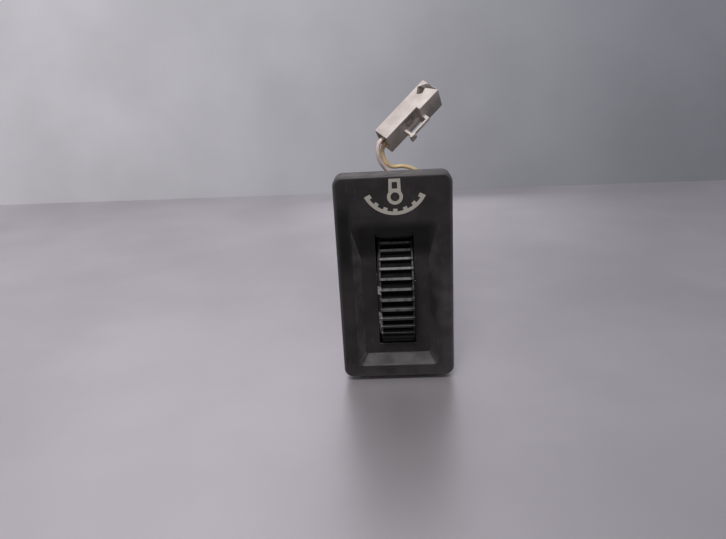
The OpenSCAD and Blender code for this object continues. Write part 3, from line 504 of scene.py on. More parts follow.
@dataclass(frozen=True)
class BezelFinish(PlasticFinish):
    """Plastic of the bezel: pale round its outline from wear, with a painted highlight on the outline's
    underside.
    Its film is paler on the recess's side walls, partly dust and partly painted light, paler on a strip at
    the right, and paler on a band at the foot, where it is painted bounce light from the floor. The head of
    the recess carries painted shade, and a strip left of the recess is darker.

    UNDERSIDE and SIDEWAYS are parts of the surface's normal. RIM_FULL is where the rim's rubbing is full, as
    a share of the rim's width from the edge.
    """

    UNDERSIDE: ClassVar[Span] = (-0.6, 0.0)
    SIDEWAYS: ClassVar[Span] = (0.5, 0.8)
    RIM_FULL: ClassVar[float] = 0.2

    half_width: float = 16.0
    half_height: float = 29.7
    corner: float = 2.6
    rim: float = 1.0
    rim_rub: float = 0.3
    # Extra film on faces that turn right, and less on those that turn left: partly dust, partly painted light
    # on the recess's side walls.
    wall_film_and_light: float = 0.4
    far_wall_film_and_light: float = 0.14
    # Darker zones: a strip left of the recess, and painted shade at the head of the recess under its top
    # edge.
    dark: tuple[tuple[Zone, float], ...] = (
        (Zone(-15.1, -11.7, 3.5, 22.0, 0.9, 4.5), 0.75),
        (Zone(-9.8, 9.8, 8.2, 15.8, 0.8, 1.2), 0.3),
    )
    # Zones of thicker film: a strip at the right, and a band at the foot that is painted bounce light from
    # the floor.
    dust_and_light: tuple[tuple[Zone, float], ...] = (
        (Zone(12.2, 20.0, -40.0, 3.0, 1.5, 9.0), 0.1),
        (Zone(-20.0, 20.0, -40.0, -26.3, 1.0, 3.0), 0.08),
    )

    @staticmethod
    def zoned(graph: ShaderGraph, level: Level, spots: Iterable[tuple[Zone, float]]) -> Level:
        """Add to a level inside some zones.

        Args:
            graph: The material's graph.
            level: The level outside them.
            spots: Each zone, and what it adds.

        Returns:
            The level all over.
        """
        for zone, extra in spots:
            level = graph.maths("ADD", level, graph.maths("MULTIPLY", zone.mask(graph), extra))
        return level

    def rim_mask(self, graph: ShaderGraph) -> NodeSocket:
        """Return the mask of the outline's edge: a rounded box, measured from its inside.

        Args:
            graph: The material's graph.

        Returns:
            The mask, from 0 to 1.
        """
        inset = ((self.half_width - self.corner) * MM, 0.0, (self.half_height - self.corner) * MM)
        over = graph.vector("SUBTRACT", graph.vector("ABSOLUTE", graph.place()), inset)
        flat = graph.vector("MULTIPLY", over, (1.0, 0.0, 1.0))
        reach = graph.length(graph.vector("MAXIMUM", flat, (0.0, 0.0, 0.0)))
        return graph.span(reach, (self.corner - self.rim) * MM, (self.corner - self.RIM_FULL * self.rim) * MM)

    def wear_and_highlight_mask(self, graph: ShaderGraph) -> NodeSocket:
        """Return the mask of what is pale: rubbed edges, scratches and the outline, fullest on the outline's
        underside, where it is a painted highlight.

        Args:
            graph: The material's graph.

        Returns:
            The mask, from 0 to 1.
        """
        # Undersides of the outline get the full level: a painted highlight on the edges that face down,
        # beyond their wear.
        rub = graph.span(graph.sides("Normal")[2], *self.UNDERSIDE, 1.0, self.rim_rub)
        rim = graph.maths("MULTIPLY", self.rim_mask(graph), rub)
        return graph.maths("ADD", super().wear_and_highlight_mask(graph), rim, clamp=True)

    def darkening(self, graph: ShaderGraph) -> Level:
        """Return how much darker the plastic is made: a strip left of the recess, and painted shade at its
        head.
        """
        return self.zoned(graph, 0.0, self.dark)

    def finished(self, graph: ShaderGraph, colour: NodeSocket) -> NodeSocket:
        """Return the colour, darker in the dark zones, which hold painted shade at the head of the recess."""
        return graph.scaled(colour, graph.maths("SUBTRACT", 1.0, self.darkening(graph)))

    def dulled(self, graph: ShaderGraph, rough: NodeSocket) -> NodeSocket:
        """Return the roughness, raised in the dark zones."""
        dull = graph.maths("MULTIPLY", self.darkening(graph), self.DARKENED_DULLING)
        return graph.maths("ADD", rough, dull, clamp=True)

    def film_and_light_share(self, graph: ShaderGraph) -> Level:
        """Return how thick the pale film is: thickest on what faces right and thicker in the listed zones;
        beyond dust it paints light on the recess's side walls and bounce light on the foot band.

        Args:
            graph: The material's graph.

        Returns:
            The thickness of the film.
        """
        rightward = graph.sides("Normal")[0]
        begun, full = self.SIDEWAYS
        film = graph.span(rightward, begun, full, self.film, self.film + self.wall_film_and_light)
        film = graph.maths("ADD", film, graph.span(rightward, -full, -begun, self.far_wall_film_and_light, 0.0))
        return self.zoned(graph, film, self.dust_and_light)


@dataclass(frozen=True)
class WheelFinish(PlasticFinish):
    """Plastic of the wheel, pale on the rib tips from wear and a painted highlight that fades towards the
    lower ribs, with painted shade in the pockets between the ribs.

    Each blur is the half width of a mask's soft side.
    """

    POCKET_BLUR: ClassVar[float] = 0.4
    TIP_BLUR: ClassVar[float] = 0.1
    END_BLUR: ClassVar[float] = 0.2
    RUB_BREAKS: ClassVar[Patches] = Patches(700.0, 4.0, 0.3, 0.65)
    RUB_LEAST: ClassVar[float] = 0.45
    LIP_SPOT_BREAKS: ClassVar[Patches] = Patches(1500.0, 3.0, 0.35, 0.6)
    LIP_SPOT_LEAST: ClassVar[float] = 0.3

    axis_y: float = 8.2
    axis_z: float = -6.6
    tip_radius: float = 17.1
    rub_depth: float = 0.25
    rub: float = 0.85
    # Painted shade in the pockets between the ribs: how deep it reaches, and the share of colour it leaves.
    pocket_depth: float = 0.75
    pocket_shade: float = 0.08
    # Heights over which the pale rib tips fade: wear, and a painted highlight that dims towards the lower
    # ribs.
    rub_and_light_above: float = -3.0
    rub_and_light_less_below: float = -13.5
    least_rub_and_light: float = 0.2
    end_x: float = 4.2
    end_rub: float = 0.18
    lip_spot_colour: Colour = (0.27, 0.265, 0.26)
    lip_spots: tuple[Zone, ...] = (
        Zone(-9.0, -4.2, -3.3, -1.3, 0.15, 0.3),
        Zone(-9.0, -4.2, -16.0, -8.6, 0.15, 0.3),
    )

    def radius(self, graph: ShaderGraph) -> NodeSocket:
        """Return each point's distance from the wheel's axis, in metres."""
        offset = graph.vector("SUBTRACT", graph.place(), (0.0, self.axis_y * MM, self.axis_z * MM))
        return graph.length(graph.vector("MULTIPLY", offset, (0.0, 1.0, 1.0)))

    def unshaded_share(self, graph: ShaderGraph) -> NodeSocket:
        """Return the share of colour that the painted shade leaves: least in the pockets between the ribs."""
        floor = self.tip_radius - self.pocket_depth
        return graph.step(self.radius(graph), floor, self.POCKET_BLUR, self.pocket_shade, 1.0)

    def dulled(self, graph: ShaderGraph, rough: NodeSocket) -> NodeSocket:
        """Return the roughness, raised where the pockets hold painted shade."""
        pocket_painted_shade = graph.maths("SUBTRACT", 1.0, self.unshaded_share(graph))
        return graph.maths("ADD", rough, graph.maths("MULTIPLY", pocket_painted_shade, self.DARKENED_DULLING), clamp=True)

    def finished(self, graph: ShaderGraph, colour: NodeSocket) -> NodeSocket:
        """Return the colour, darkened by painted shade in the pockets and pale on spots of the lip."""
        dark = graph.scaled(colour, self.unshaded_share(graph))
        return graph.blend(self.lip_mask(graph), dark, self.lip_spot_colour)

    def lip_mask(self, graph: ShaderGraph) -> NodeSocket:
        """Return the mask of the pale spots on the lip left of the ribs, broken up by a fine noise.

        Args:
            graph: The material's graph.

        Returns:
            The mask, from 0 to 1.
        """
        spots = 0.0
        for zone in self.lip_spots:
            spots = graph.maths("ADD", spots, zone.mask(graph))
        return graph.maths("MULTIPLY", spots, self.LIP_SPOT_BREAKS.cut(graph, self.LIP_SPOT_LEAST))

    def wear_and_highlight_mask(self, graph: ShaderGraph) -> NodeSocket:
        """Return the mask of what is pale: rubbed edges, scratches and the rib tips, whose paleness is wear
        and a painted highlight that fades towards the lower ribs.

        Args:
            graph: The material's graph.

        Returns:
            The mask, from 0 to 1.
        """
        x, _, z = graph.sides()
        # The fade towards the lower ribs is painted shade on the tips that face down.
        touch_and_light_fade = graph.span(z, self.rub_and_light_less_below * MM, self.rub_and_light_above * MM, self.least_rub_and_light, 1.0)
        inner = self.tip_radius - self.rub_depth
        tips = graph.step(self.radius(graph), inner, self.TIP_BLUR, 0.0, self.rub)
        uneven = self.RUB_BREAKS.cut(graph, self.RUB_LEAST)
        worn_and_lit = graph.maths("ADD", super().wear_and_highlight_mask(graph), graph.maths("MULTIPLY", tips, uneven))
        ends = graph.step(graph.maths("ABSOLUTE", x), self.end_x, self.END_BLUR, 1.0, self.end_rub)
        return graph.maths("MULTIPLY", worn_and_lit, graph.maths("MULTIPLY", touch_and_light_fade, ends), clamp=True)


@dataclass(frozen=True)
class MetalFinish(Finish):
    """Plain metal with fine streaks from its making and a dull film in patches."""

    ROUGH_SPREAD: ClassVar[float] = 0.06
    ROUGH_PATCHES: ClassVar[Patches] = Patches(800.0)
    SHADES: ClassVar[Span] = (0.85, 1.1)
    STREAKS: ClassVar[Point] = (9000.0, 900.0, 9000.0)
    STREAK_DEPTH: ClassVar[float] = 0.004
    FILM_PATCHES: ClassVar[Patches] = Patches(420.0, 4.0, 0.42, 0.7)
    FILM_DULLING: ClassVar[float] = 0.3

    film_colour: Colour = (0.3, 0.29, 0.28)
    film: float = 0.35

    def coat(self, graph: ShaderGraph) -> dict[str, Value]:
        """Return what the shader is given.

        Args:
            graph: The material's graph.

        Returns:
            Values and outputs by the names of its inputs.
        """
        streaks = graph.noise(1.0, 2.0, graph.mapped((0, 0, 0), self.STREAKS))
        film = self.FILM_PATCHES.cut(graph, 0.0, self.film)
        bright = self.mottled(graph, streaks, *self.SHADES)
        dull = graph.maths("MULTIPLY", film, self.FILM_DULLING)
        return {
            "Base Color": graph.blend(film, bright, self.film_colour),
            "Roughness": graph.maths("ADD", self.roughened(graph), dull, clamp=True),
            "Metallic": 1.0,
            "Normal": graph.bump(streaks, self.STREAK_DEPTH),
        }


@dataclass(frozen=True)
class JacketFinish(Finish):
    """Vinyl insulation of a wire: smooth, with soiled patches and a faint waviness."""

    ROUGH_SPREAD: ClassVar[float] = 0.06
    ROUGH_PATCHES: ClassVar[Patches] = Patches(500.0)
    SOIL_PATCHES: ClassVar[Patches] = Patches(260.0, 5.0, 0.42, 0.72)
    WAVES: ClassVar[float] = 900.0
    WAVE_DEPTH: ClassVar[float] = 0.02

    soil_colour: Colour = (0.2, 0.16, 0.12)
    soil: float = 0.35
    dust_colour: Colour = (0.5, 0.48, 0.45)
    settled: float = 0.12
    film: float = 0.03

    def coat(self, graph: ShaderGraph) -> dict[str, Value]:
        """Return what the shader is given.

        Args:
            graph: The material's graph.

        Returns:
            Values and outputs by the names of its inputs.
        """
        soil = self.SOIL_PATCHES.cut(graph, 0.0, self.soil)
        dust = graph.effect(Effect.DUST, Settled=self.settled, Film=self.film)["Mask"]
        body = graph.blend(soil, self.colour, self.soil_colour)
        return {
            "Base Color": graph.blend(dust, body, self.dust_colour),
            "Roughness": self.roughened(graph),
            "Normal": graph.bump(graph.noise(self.WAVES), self.WAVE_DEPTH),
        }


@dataclass(frozen=True)
class PrintFinish(Finish):
    """Screen-printed ink on the bezel, a little uneven, with the plastic showing through its worn spots."""

    ROUGH_PATCHES: ClassVar[Patches] = Patches(600.0)
    CLOUDS: ClassVar[Patches] = Patches(420.0, 3.0, 0.3, 0.75)
    CLOUD_SHARE: ClassVar[float] = 0.35
    PINHOLES: ClassVar[Patches] = Patches(2600.0, 3.0, 0.68, 0.76)
    PINHOLE_SHARE: ClassVar[float] = 0.7
    FADED: ClassVar[float] = 0.72
    GRAIN_DEPTH: ClassVar[float] = 0.01

    under_colour: Colour = (0.03, 0.03, 0.03)
    scratch: float = 0.3

    def coat(self, graph: ShaderGraph) -> dict[str, Value]:
        """Return what the shader is given.

        Args:
            graph: The material's graph.

        Returns:
            Values and outputs by the names of its inputs.
        """
        cloud = self.CLOUDS.cut(graph, 0.0, self.CLOUD_SHARE)
        ink = self.mottled(graph, cloud, 1.0, self.FADED)
        pinholes = self.PINHOLES.cut(graph, 0.0, self.PINHOLE_SHARE)
        scratches = graph.effect(Effect.SCRATCHES, Amount=self.scratch)["Mask"]
        gone = graph.maths("ADD", pinholes, scratches, clamp=True)
        return {
            "Base Color": graph.blend(gone, ink, self.under_colour),
            "Roughness": self.roughened(graph),
            "Normal": graph.bump(graph.effect(Effect.GRAIN)["Height"], self.GRAIN_DEPTH),
        }


@dataclass(frozen=True)
class StageFinish(Finish):
    """Plain sheet of the floor or the wall, with a slow change of tone from left to right that is painted
    light:
    it stands in for how the lamps' light falls across the stage.

    It has its full tone in sight. Mirrored is the share of it seen in gloss, and bounce the share that it
    throws back as light.
    """

    CLOUDS: ClassVar[Patches] = Patches(14.0, 4.0)
    CLOUD_LEVELS: ClassVar[Span] = (0.93, 1.05)

    far_colour: Colour
    metallic: float
    left: float
    right: float
    bounce: float = 0.05
    mirrored: float = 0.2

    def coat(self, graph: ShaderGraph) -> dict[str, Value]:
        """Return what the shader is given.

        Args:
            graph: The material's graph.

        Returns:
            Values and outputs by the names of its inputs.
        """
        # Painted light: the tone changes from left to right as the light falls across the stage.
        share = graph.span(graph.sides()[0], self.left * MM, self.right * MM)
        tone = graph.blend(share, self.colour, self.far_colour)
        cloud = self.CLOUDS.cut(graph, *self.CLOUD_LEVELS)
        path = graph.node("ShaderNodeLightPath").outputs
        gloss = graph.maths("MULTIPLY", path["Is Glossy Ray"], self.mirrored)
        in_sight = graph.maths("MAXIMUM", path["Is Camera Ray"], gloss)
        level = graph.maths("MULTIPLY", cloud, graph.maths("MAXIMUM", in_sight, self.bounce))
        return {
            "Base Color": graph.scaled(tone, level),
            "Roughness": self.roughness,
            "Metallic": graph.maths("MULTIPLY", path["Is Camera Ray"], self.metallic),
        }


def placed(name: str, data: ID) -> Object:
    """Put a new object in the scene.

    Args:
        name: Name of the object.
        data: Its mesh, curve, lamp or camera.

    Returns:
        The new object.
    """
    thing = bpy.data.objects.new(name, data)
    bpy.context.scene.collection.objects.link(thing)
    return thing


def shown_piece(name: str, data: Mesh | Curve, material: Material, body: Body) -> Object:
    """Put a new piece in the scene, on the body that carries it.

    Args:
        name: Name of the piece.
        data: Its mesh or curve, in metres and in place.
        material: Its finish.
        body: The body that it rides on.

    Returns:
        The new object.
    """
    data.materials.clear()
    data.materials.append(material)
    piece = placed(name, data)
    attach(piece, body.value)
    return piece


def mesh_of(name: str, work: BMesh) -> Mesh:
    """Turn finished bmesh work into a mesh with smooth faces and sharp creases.

    Args:
        name: Name of the mesh.
        work: The bmesh, which is freed.

    Returns:
        The mesh.
    """
    bmesh.ops.recalc_face_normals(work, faces=work.faces)
    mesh = bpy.data.meshes.new(name)
    work.to_mesh(mesh)
    work.free()
    mesh.shade_smooth()
    mesh.set_sharp_from_angle(angle=CREASE_ANGLE)
    return mesh


def has_room(edge: BMEdge, width: float) -> bool:
    """Tell whether a rounding fits beside an edge: no short edge leaves its ends at an angle.

    Args:
        edge: The edge to round.
        width: Width of the rounding in metres.

    Returns:
        True if it fits.
    """
    along = (edge.verts[0].co - edge.verts[1].co).normalized()
    for vert in edge.verts:
        for other in vert.link_edges:
            run = other.other_vert(vert).co - vert.co
            short = run.length < SHORT_WIDTHS * width
            if other is not edge and short and abs(run.normalized().dot(along)) < ALONG_COSINE:
                return False
    return True


def softened(
    node: str, material: Material, body: Body, width: float, segments: int = 2
) -> Object:
    """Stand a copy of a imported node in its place, with its outer edges rounded as the mould leaves them.

    Args:
        node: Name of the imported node.
        material: Its finish.
        body: The body that it rides on.
        width: Width of the rounding in millimetres.
        segments: Faces across the rounding.

    Returns:
        The new object.
    """
    work = bmesh.new()
    work.from_mesh(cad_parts[node].data)
    bmesh.ops.remove_doubles(work, verts=work.verts, dist=WELD)
    bmesh.ops.dissolve_limit(work, angle_limit=FLAT_ANGLE, verts=work.verts[:], edges=work.edges[:])
    edges = [
        e for e in work.edges
        if e.is_manifold and e.calc_face_angle_signed(0.0) > ROUNDED_ANGLE and has_room(e, width * MM)
    ]
    bmesh.ops.bevel(
        work, geom=edges, offset=width * MM, offset_type="OFFSET", segments=segments, profile=0.5,
        affect="EDGES", clamp_overlap=False, material=-1,
    )
    name = node + "_shell"
    piece = shown_piece(name, mesh_of(name, work), material, body)
    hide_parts(node)
    return piece


def dress(nodes: Sequence[str], material: Material) -> Pieces:
    """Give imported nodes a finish, without touching their shapes.

    Args:
        nodes: Names of the nodes.
        material: Their finish.

    Returns:
        The names again.
    """
    for name in nodes:
        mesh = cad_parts[name].data
        mesh.materials.clear()
        mesh.materials.append(material)
    return list(nodes)


@dataclass(frozen=True)
class Lamp:
    """A square soft lamp: where it hangs, its side, its power and colour, and the point that it faces."""

    name: str
    place: Point
    side: float
    watts: float
    colour: Colour
    aim: Point = (0, 0, 0)
    in_gloss: bool = True

    def hang(self) -> None:
        """Put the lamp in the scene, out of the camera's sight."""
        data = bpy.data.lights.new(self.name, "AREA")
        data.shape = "SQUARE"
        data.size = self.side * MM
        data.energy = self.watts
        data.color = self.colour
        lamp = placed(self.name, data)
        lamp.location = metres(self.place)
        lamp.rotation_mode = "QUATERNION"
        lamp.rotation_quaternion = (metres(self.aim) - metres(self.place)).to_track_quat("-Z", "Y")
        lamp.visible_camera = False
        lamp.visible_glossy = self.in_gloss


@dataclass
class Studio:
    """The camera of the photograph, a plain floor and wall, and soft light from above.

    The camera's angles are radians and the wall's is degrees. The clip span is in metres.
    """

    WARM: ClassVar[Colour] = (1.0, 0.99, 0.98)
    COOL: ClassVar[Colour] = (0.98, 0.98, 1.0)

    eye: Point = (0.3446, -169.12, 58.511)
    yaw: float = -0.0569954
    pitch: float = 0.3244455
    roll: float = -0.0561853
    focal_px: float = 620.0
    picture_px: float = 726.0
    sensor: float = 36.0
    floor_z: float = -31.0
    wall_foot: Point = (-21.3, 269.3, -31.0)
    wall_turn: float = -2.91
    reach: float = 3000.0
    clip: Span = (0.005, 20.0)
    room_colour: Colour = (0.72, 0.74, 0.8)
    room_level: float = 0.15
    # The floor's tone rises and the wall's falls steeply from left to right: painted light and shade across
    # the stage.
    floor: StageFinish = StageFinish(
        "floor_sheet", (0.79, 0.745, 0.785), 0.38, (0.92, 0.86, 0.91), 0.82, -100.0, 260.0
    )
    wall: StageFinish = StageFinish(
        "wall_sheet", (0.96, 0.94, 1.0), 0.6, (0.29, 0.3, 0.34), 0.0, -400.0, 260.0, mirrored=1.0
    )
    lamps: tuple[Lamp, ...] = (
        Lamp("key", (-71, -332, 566), 190, 3.3, WARM),
        Lamp("right_fill", (439, -160, 467), 260, 0.3, COOL),
        Lamp("front_fill", (0, -598, 279), 260, 0.8, WARM, in_gloss=False),
        Lamp("left_fill", (-562, -205, 279), 260, 0.45, COOL, in_gloss=False),
        Lamp("rear_fill", (16, 250, 70), 140, 0.22, COOL, (5.8, 50, 70), in_gloss=False),
    )

    def camera(self) -> None:
        """Make the camera where the photograph was taken from."""
        forward = Vector((
            math.sin(self.yaw) * math.cos(self.pitch),
            math.cos(self.yaw) * math.cos(self.pitch),
            -math.sin(self.pitch),
        ))
        level = Vector((math.cos(self.yaw), -math.sin(self.yaw), 0.0))
        above = level.cross(forward)
        right = math.cos(self.roll) * level + math.sin(self.roll) * above
        up = -math.sin(self.roll) * level + math.cos(self.roll) * above
        data = bpy.data.cameras.new("camera")
        data.sensor_fit = "HORIZONTAL"
        data.sensor_width = self.sensor
        data.lens = self.focal_px / self.picture_px * self.sensor
        data.clip_start, data.clip_end = self.clip
        camera = placed("camera", data)
        turn = Matrix((right, up, -forward)).transposed()
        camera.matrix_world = Matrix.Translation(metres(self.eye)) @ turn.to_4x4()
        bpy.context.scene.camera = camera
        LOG.info("camera: lens %.2f mm", data.lens)

    def sheet(self, name: str, place: Matrix, material: Material) -> None:
        """Lay one flat sheet of the stage.

        Args:
            name: Name of the sheet.
            place: Where its middle is and how it is turned, in metres.
            material: Its finish.
        """
        work = bmesh.new()
        bmesh.ops.create_grid(work, x_segments=1, y_segments=1, size=self.reach * MM, matrix=place)
        mesh = bpy.data.meshes.new(name)
        work.to_mesh(mesh)
        work.free()
        mesh.materials.append(material)
        sheet = placed(name, mesh)
        LOG.info("stage: %s", name)

    def stage(self) -> None:
        """Lay the floor under the object and stand the wall behind it."""
        flat = Matrix.Translation(metres((0, 0, self.floor_z)))
        self.sheet("floor", flat, self.floor.material())
        turn = Matrix.Rotation(math.radians(self.wall_turn), 4, "Z")
        upright = turn @ Matrix.Rotation(math.radians(90), 4, "X")
        foot = Vector(self.wall_foot) + Vector((0, 0, self.reach))
        self.sheet("wall", Matrix.Translation(metres(foot)) @ upright, self.wall.material())

    def light(self) -> None:
        """Hang the lamps and set the even light from all round."""
        for lamp in self.lamps:
            lamp.hang()
        world = bpy.data.worlds.new("room")
        world.use_nodes = True
        background = world.node_tree.nodes["Background"]
        background.inputs["Color"].default_value = (*self.room_colour, 1.0)
        background.inputs["Strength"].default_value = self.room_level
        bpy.context.scene.world = world
        bpy.context.scene.view_settings.view_transform = "Standard"
        LOG.info("light: %d lamps and the room", len(self.lamps))


@dataclass
class LeadWires:
    """The two single wires that carry the connector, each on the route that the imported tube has."""

    start: Point = (3.0, 25.0, 12.6)
    diameter: float = 1.35
    exit_y: float = 30.1
    steps_along: int = 8
    steps_round: int = 5
    routes: dict[Insulation, list[Point]] = field(default_factory=lambda: {
        Insulation.WHITE: [
            (0, 0, 0), (0, 3, 0), (0, 6, 0), (0, 8.2, 0.3), (-0.1, 10, 1.3), (-0.4, 10.9, 3), (-0.9, 11.1, 5),
            (-1.7, 10.9, 7), (-2.8, 10.4, 8.9), (-4, 9.6, 10.8), (-5.3, 8.6, 12.5), (-6.3, 7.6, 14.1),
            (-6.9, 6.9, 15.8), (-7.2, 6.5, 17.6), (-7.2, 6.3, 19.3), (-6.7, 6.4, 20.8), (-5.6, 6.9, 22),
            (-4.4, 7.5, 23.1),
        ],
        Insulation.YELLOW: [
            (5, 0, 0), (5, 3, 0), (5, 6, 0), (5.1, 8.2, 0.3), (5.6, 9.9, 1.5), (6.3, 10.6, 3.2),
            (6.9, 10.6, 5.2), (7.1, 10.4, 7.2), (6.6, 10, 9.1), (5.4, 9.7, 10.6), (3.8, 9.6, 11.6),
            (2, 9.5, 12.3), (0.1, 9.5, 12.6), (-1.7, 9.4, 12.5), (-3.3, 9.2, 12.8), (-4.6, 9, 13.8),
            (-5.4, 8.9, 15.4), (-5.8, 8.8, 17.1), (-5.7, 8.9, 18.6), (-4.9, 9.5, 19.9), (-3.7, 10.1, 20.9),
        ],
    })
    finishes: dict[Insulation, JacketFinish] = field(default_factory=lambda: {
        Insulation.WHITE: JacketFinish("white_jacket", (0.74, 0.58, 0.54), 0.38, (0.3, 0.2, 0.15), 0.45),
        Insulation.YELLOW: JacketFinish("yellow_jacket", (0.56, 0.42, 0.23), 0.38, (0.36, 0.2, 0.11), 0.5),
    })
    slots: dict[Insulation, Slot] = field(default_factory=lambda: {
        Insulation.WHITE: Slot.WHITE_WIRE,
        Insulation.YELLOW: Slot.YELLOW_WIRE,
    })

    def curve(self, insulation: Insulation) -> tuple[Curve, float]:
        """Draw one wire's centreline and give it its thickness.

        Args:
            insulation: Which wire.

        Returns:
            The curve, and its length in metres.
        """
        points = [metres(Vector(self.start) + Vector(p)) for p in self.routes[insulation]]
        curve = bpy.data.curves.new(insulation.value, "CURVE")
        curve.dimensions = "3D"
        curve.resolution_u = self.steps_along
        curve.bevel_depth = self.diameter / 2 * MM
        curve.bevel_resolution = self.steps_round
        curve.use_fill_caps = True
        spline = curve.splines.new("BEZIER")
        spline.bezier_points.add(len(points) - 1)
        for i, (knot, point) in enumerate(zip(spline.bezier_points, points)):
            before = points[i - 1] if i > 0 else 2 * point - points[i + 1]
            after = points[i + 1] if i < len(points) - 1 else 2 * point - points[i - 1]
            knot.handle_left_type = knot.handle_right_type = "FREE"
            knot.co = point
            knot.handle_left = point - (after - before) / 6
            knot.handle_right = point + (after - before) / 6
        return curve, spline.calc_length()

    def build(self, carried: Pieces) -> Pieces:
        """Args:
            carried: The connector's pieces at the wires' far end; not used.

        Returns:
            The wires.
        """
        wires: Pieces = []
        for insulation, finish in self.finishes.items():
            curve, length = self.curve(insulation)
            name = insulation.value + "_lead"
            wire = shown_piece(name, curve, finish.material(), Body.SWITCH)
            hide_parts(insulation.value)
            LOG.info("%s is %.1f mm long", name, length / MM)
            wires.append(wire)
        return wires


@dataclass
class DimmerSymbol:
    """The printed sign above the wheel: a lamp bulb over a notched arc.

    The neck's head and foot are its left side, its right side and its height.
    """

    LEAST_STEPS: ClassVar[int] = 6

    face_y: float = -6.5
    sunk: float = 0.05
    proud: float = 0.03
    arc_x: float = 0.62
    arc_z: float = 28.0
    arc_radius: float = 9.18
    arc_band: float = 0.96
    arc_half: float = 63.5
    tick_wide: float = 1.2
    tick_tall: float = 0.75
    tick_count: int = 7
    bulb_x: float = 0.66
    bulb_z: float = 23.78
    bulb_outer: float = 2.12
    bulb_inner: float = 1.2
    neck_head: Point = (-0.92, 2.16, 28.65)
    neck_foot: Point = (-1.04, 2.27, 25.11)
    neck_wall: float = 0.88
    neck_proud: float = 0.004
    finish: PrintFinish = PrintFinish("sign_ink", (0.365, 0.335, 0.305), 0.55)

    def swept_band(
        self, work: BMesh, centre: tuple[float, float], inner: float, outer: float, half: float,
        turn: float = 0.0,
    ) -> None:
        """Spin a short edge into a band round a centre, open or closed, by steps of about two degrees.

        Args:
            work: The bmesh to add to.
            centre: X and Z of the centre.
            inner: Inner radius.
            outer: Outer radius.
            half: Half of the angle that the band spans, in degrees; 180 closes it.
            turn: Angle of the band's middle from straight below the centre, in degrees.
        """
        middle = Vector((centre[0], self.face_y, centre[1]))
        start = Matrix.Rotation(math.radians(half + turn), 3, "Y")
        ends = [work.verts.new(metres(middle + start @ Vector((0, 0, -r)))) for r in (inner, outer)]
        edge = work.edges.new(ends)
        bmesh.ops.spin(
            work, geom=[*ends, edge], cent=metres(middle), axis=(0, 1, 0), angle=-math.radians(2 * half),
            steps=max(self.LEAST_STEPS, int(half)), use_merge=half >= 180,
        )

    def ticks(self, work: BMesh) -> None:
        """Add the short ticks that point inwards from the arc, one at each end and the rest evenly between.

        Args:
            work: The bmesh to add to.
        """
        inner = self.arc_radius - self.arc_band
        half = math.degrees(self.tick_wide / 2 / inner)
        step = 2 * (self.arc_half - half) / (self.tick_count - 1)
        for i in range(self.tick_count):
            turn = self.arc_half - half - i * step
            self.swept_band(work, (self.arc_x, self.arc_z), inner - self.tick_tall, inner, half, turn)

    def neck(self, work: BMesh) -> None:
        """Add the hollow neck of the bulb: a tapered outline with a wall of even width.

        Args:
            work: The bmesh to add to.
        """
        left, right, top = self.neck_head
        low_left, low_right, foot = self.neck_foot
        corners = [(left, top), (right, top), (low_right, foot), (low_left, foot)]
        front_y = self.face_y - self.neck_proud
        face = work.faces.new([work.verts.new(metres((x, front_y, z))) for x, z in corners])
        face.normal_update()
        bmesh.ops.inset_region(
            work, faces=[face], thickness=self.neck_wall * MM, use_boundary=True, use_even_offset=True
        )
        bmesh.ops.delete(work, geom=[face], context="FACES")

    def build(self) -> Pieces:
        """Make the sign as one thin raised print.

        Returns:
            The sign.
        """
        work = bmesh.new()
        outer = self.arc_radius
        self.swept_band(work, (self.arc_x, self.arc_z), outer - self.arc_band, outer, self.arc_half)
        self.swept_band(work, (self.bulb_x, self.bulb_z), self.bulb_inner, self.bulb_outer, 180.0)
        self.ticks(work)
        self.neck(work)
        bmesh.ops.translate(work, verts=work.verts, vec=metres((0, self.sunk, 0)))
        raised = bmesh.ops.extrude_face_region(work, geom=work.faces[:], use_keep_orig=True)
        lifted = [v for v in raised["geom"] if isinstance(v, BMVert)]
        bmesh.ops.translate(work, verts=lifted, vec=metres((0, -self.sunk - self.proud, 0)))
        name = "dimmer_sign"
        return [shown_piece(name, mesh_of(name, work), self.finish.material(), Body.SWITCH)]


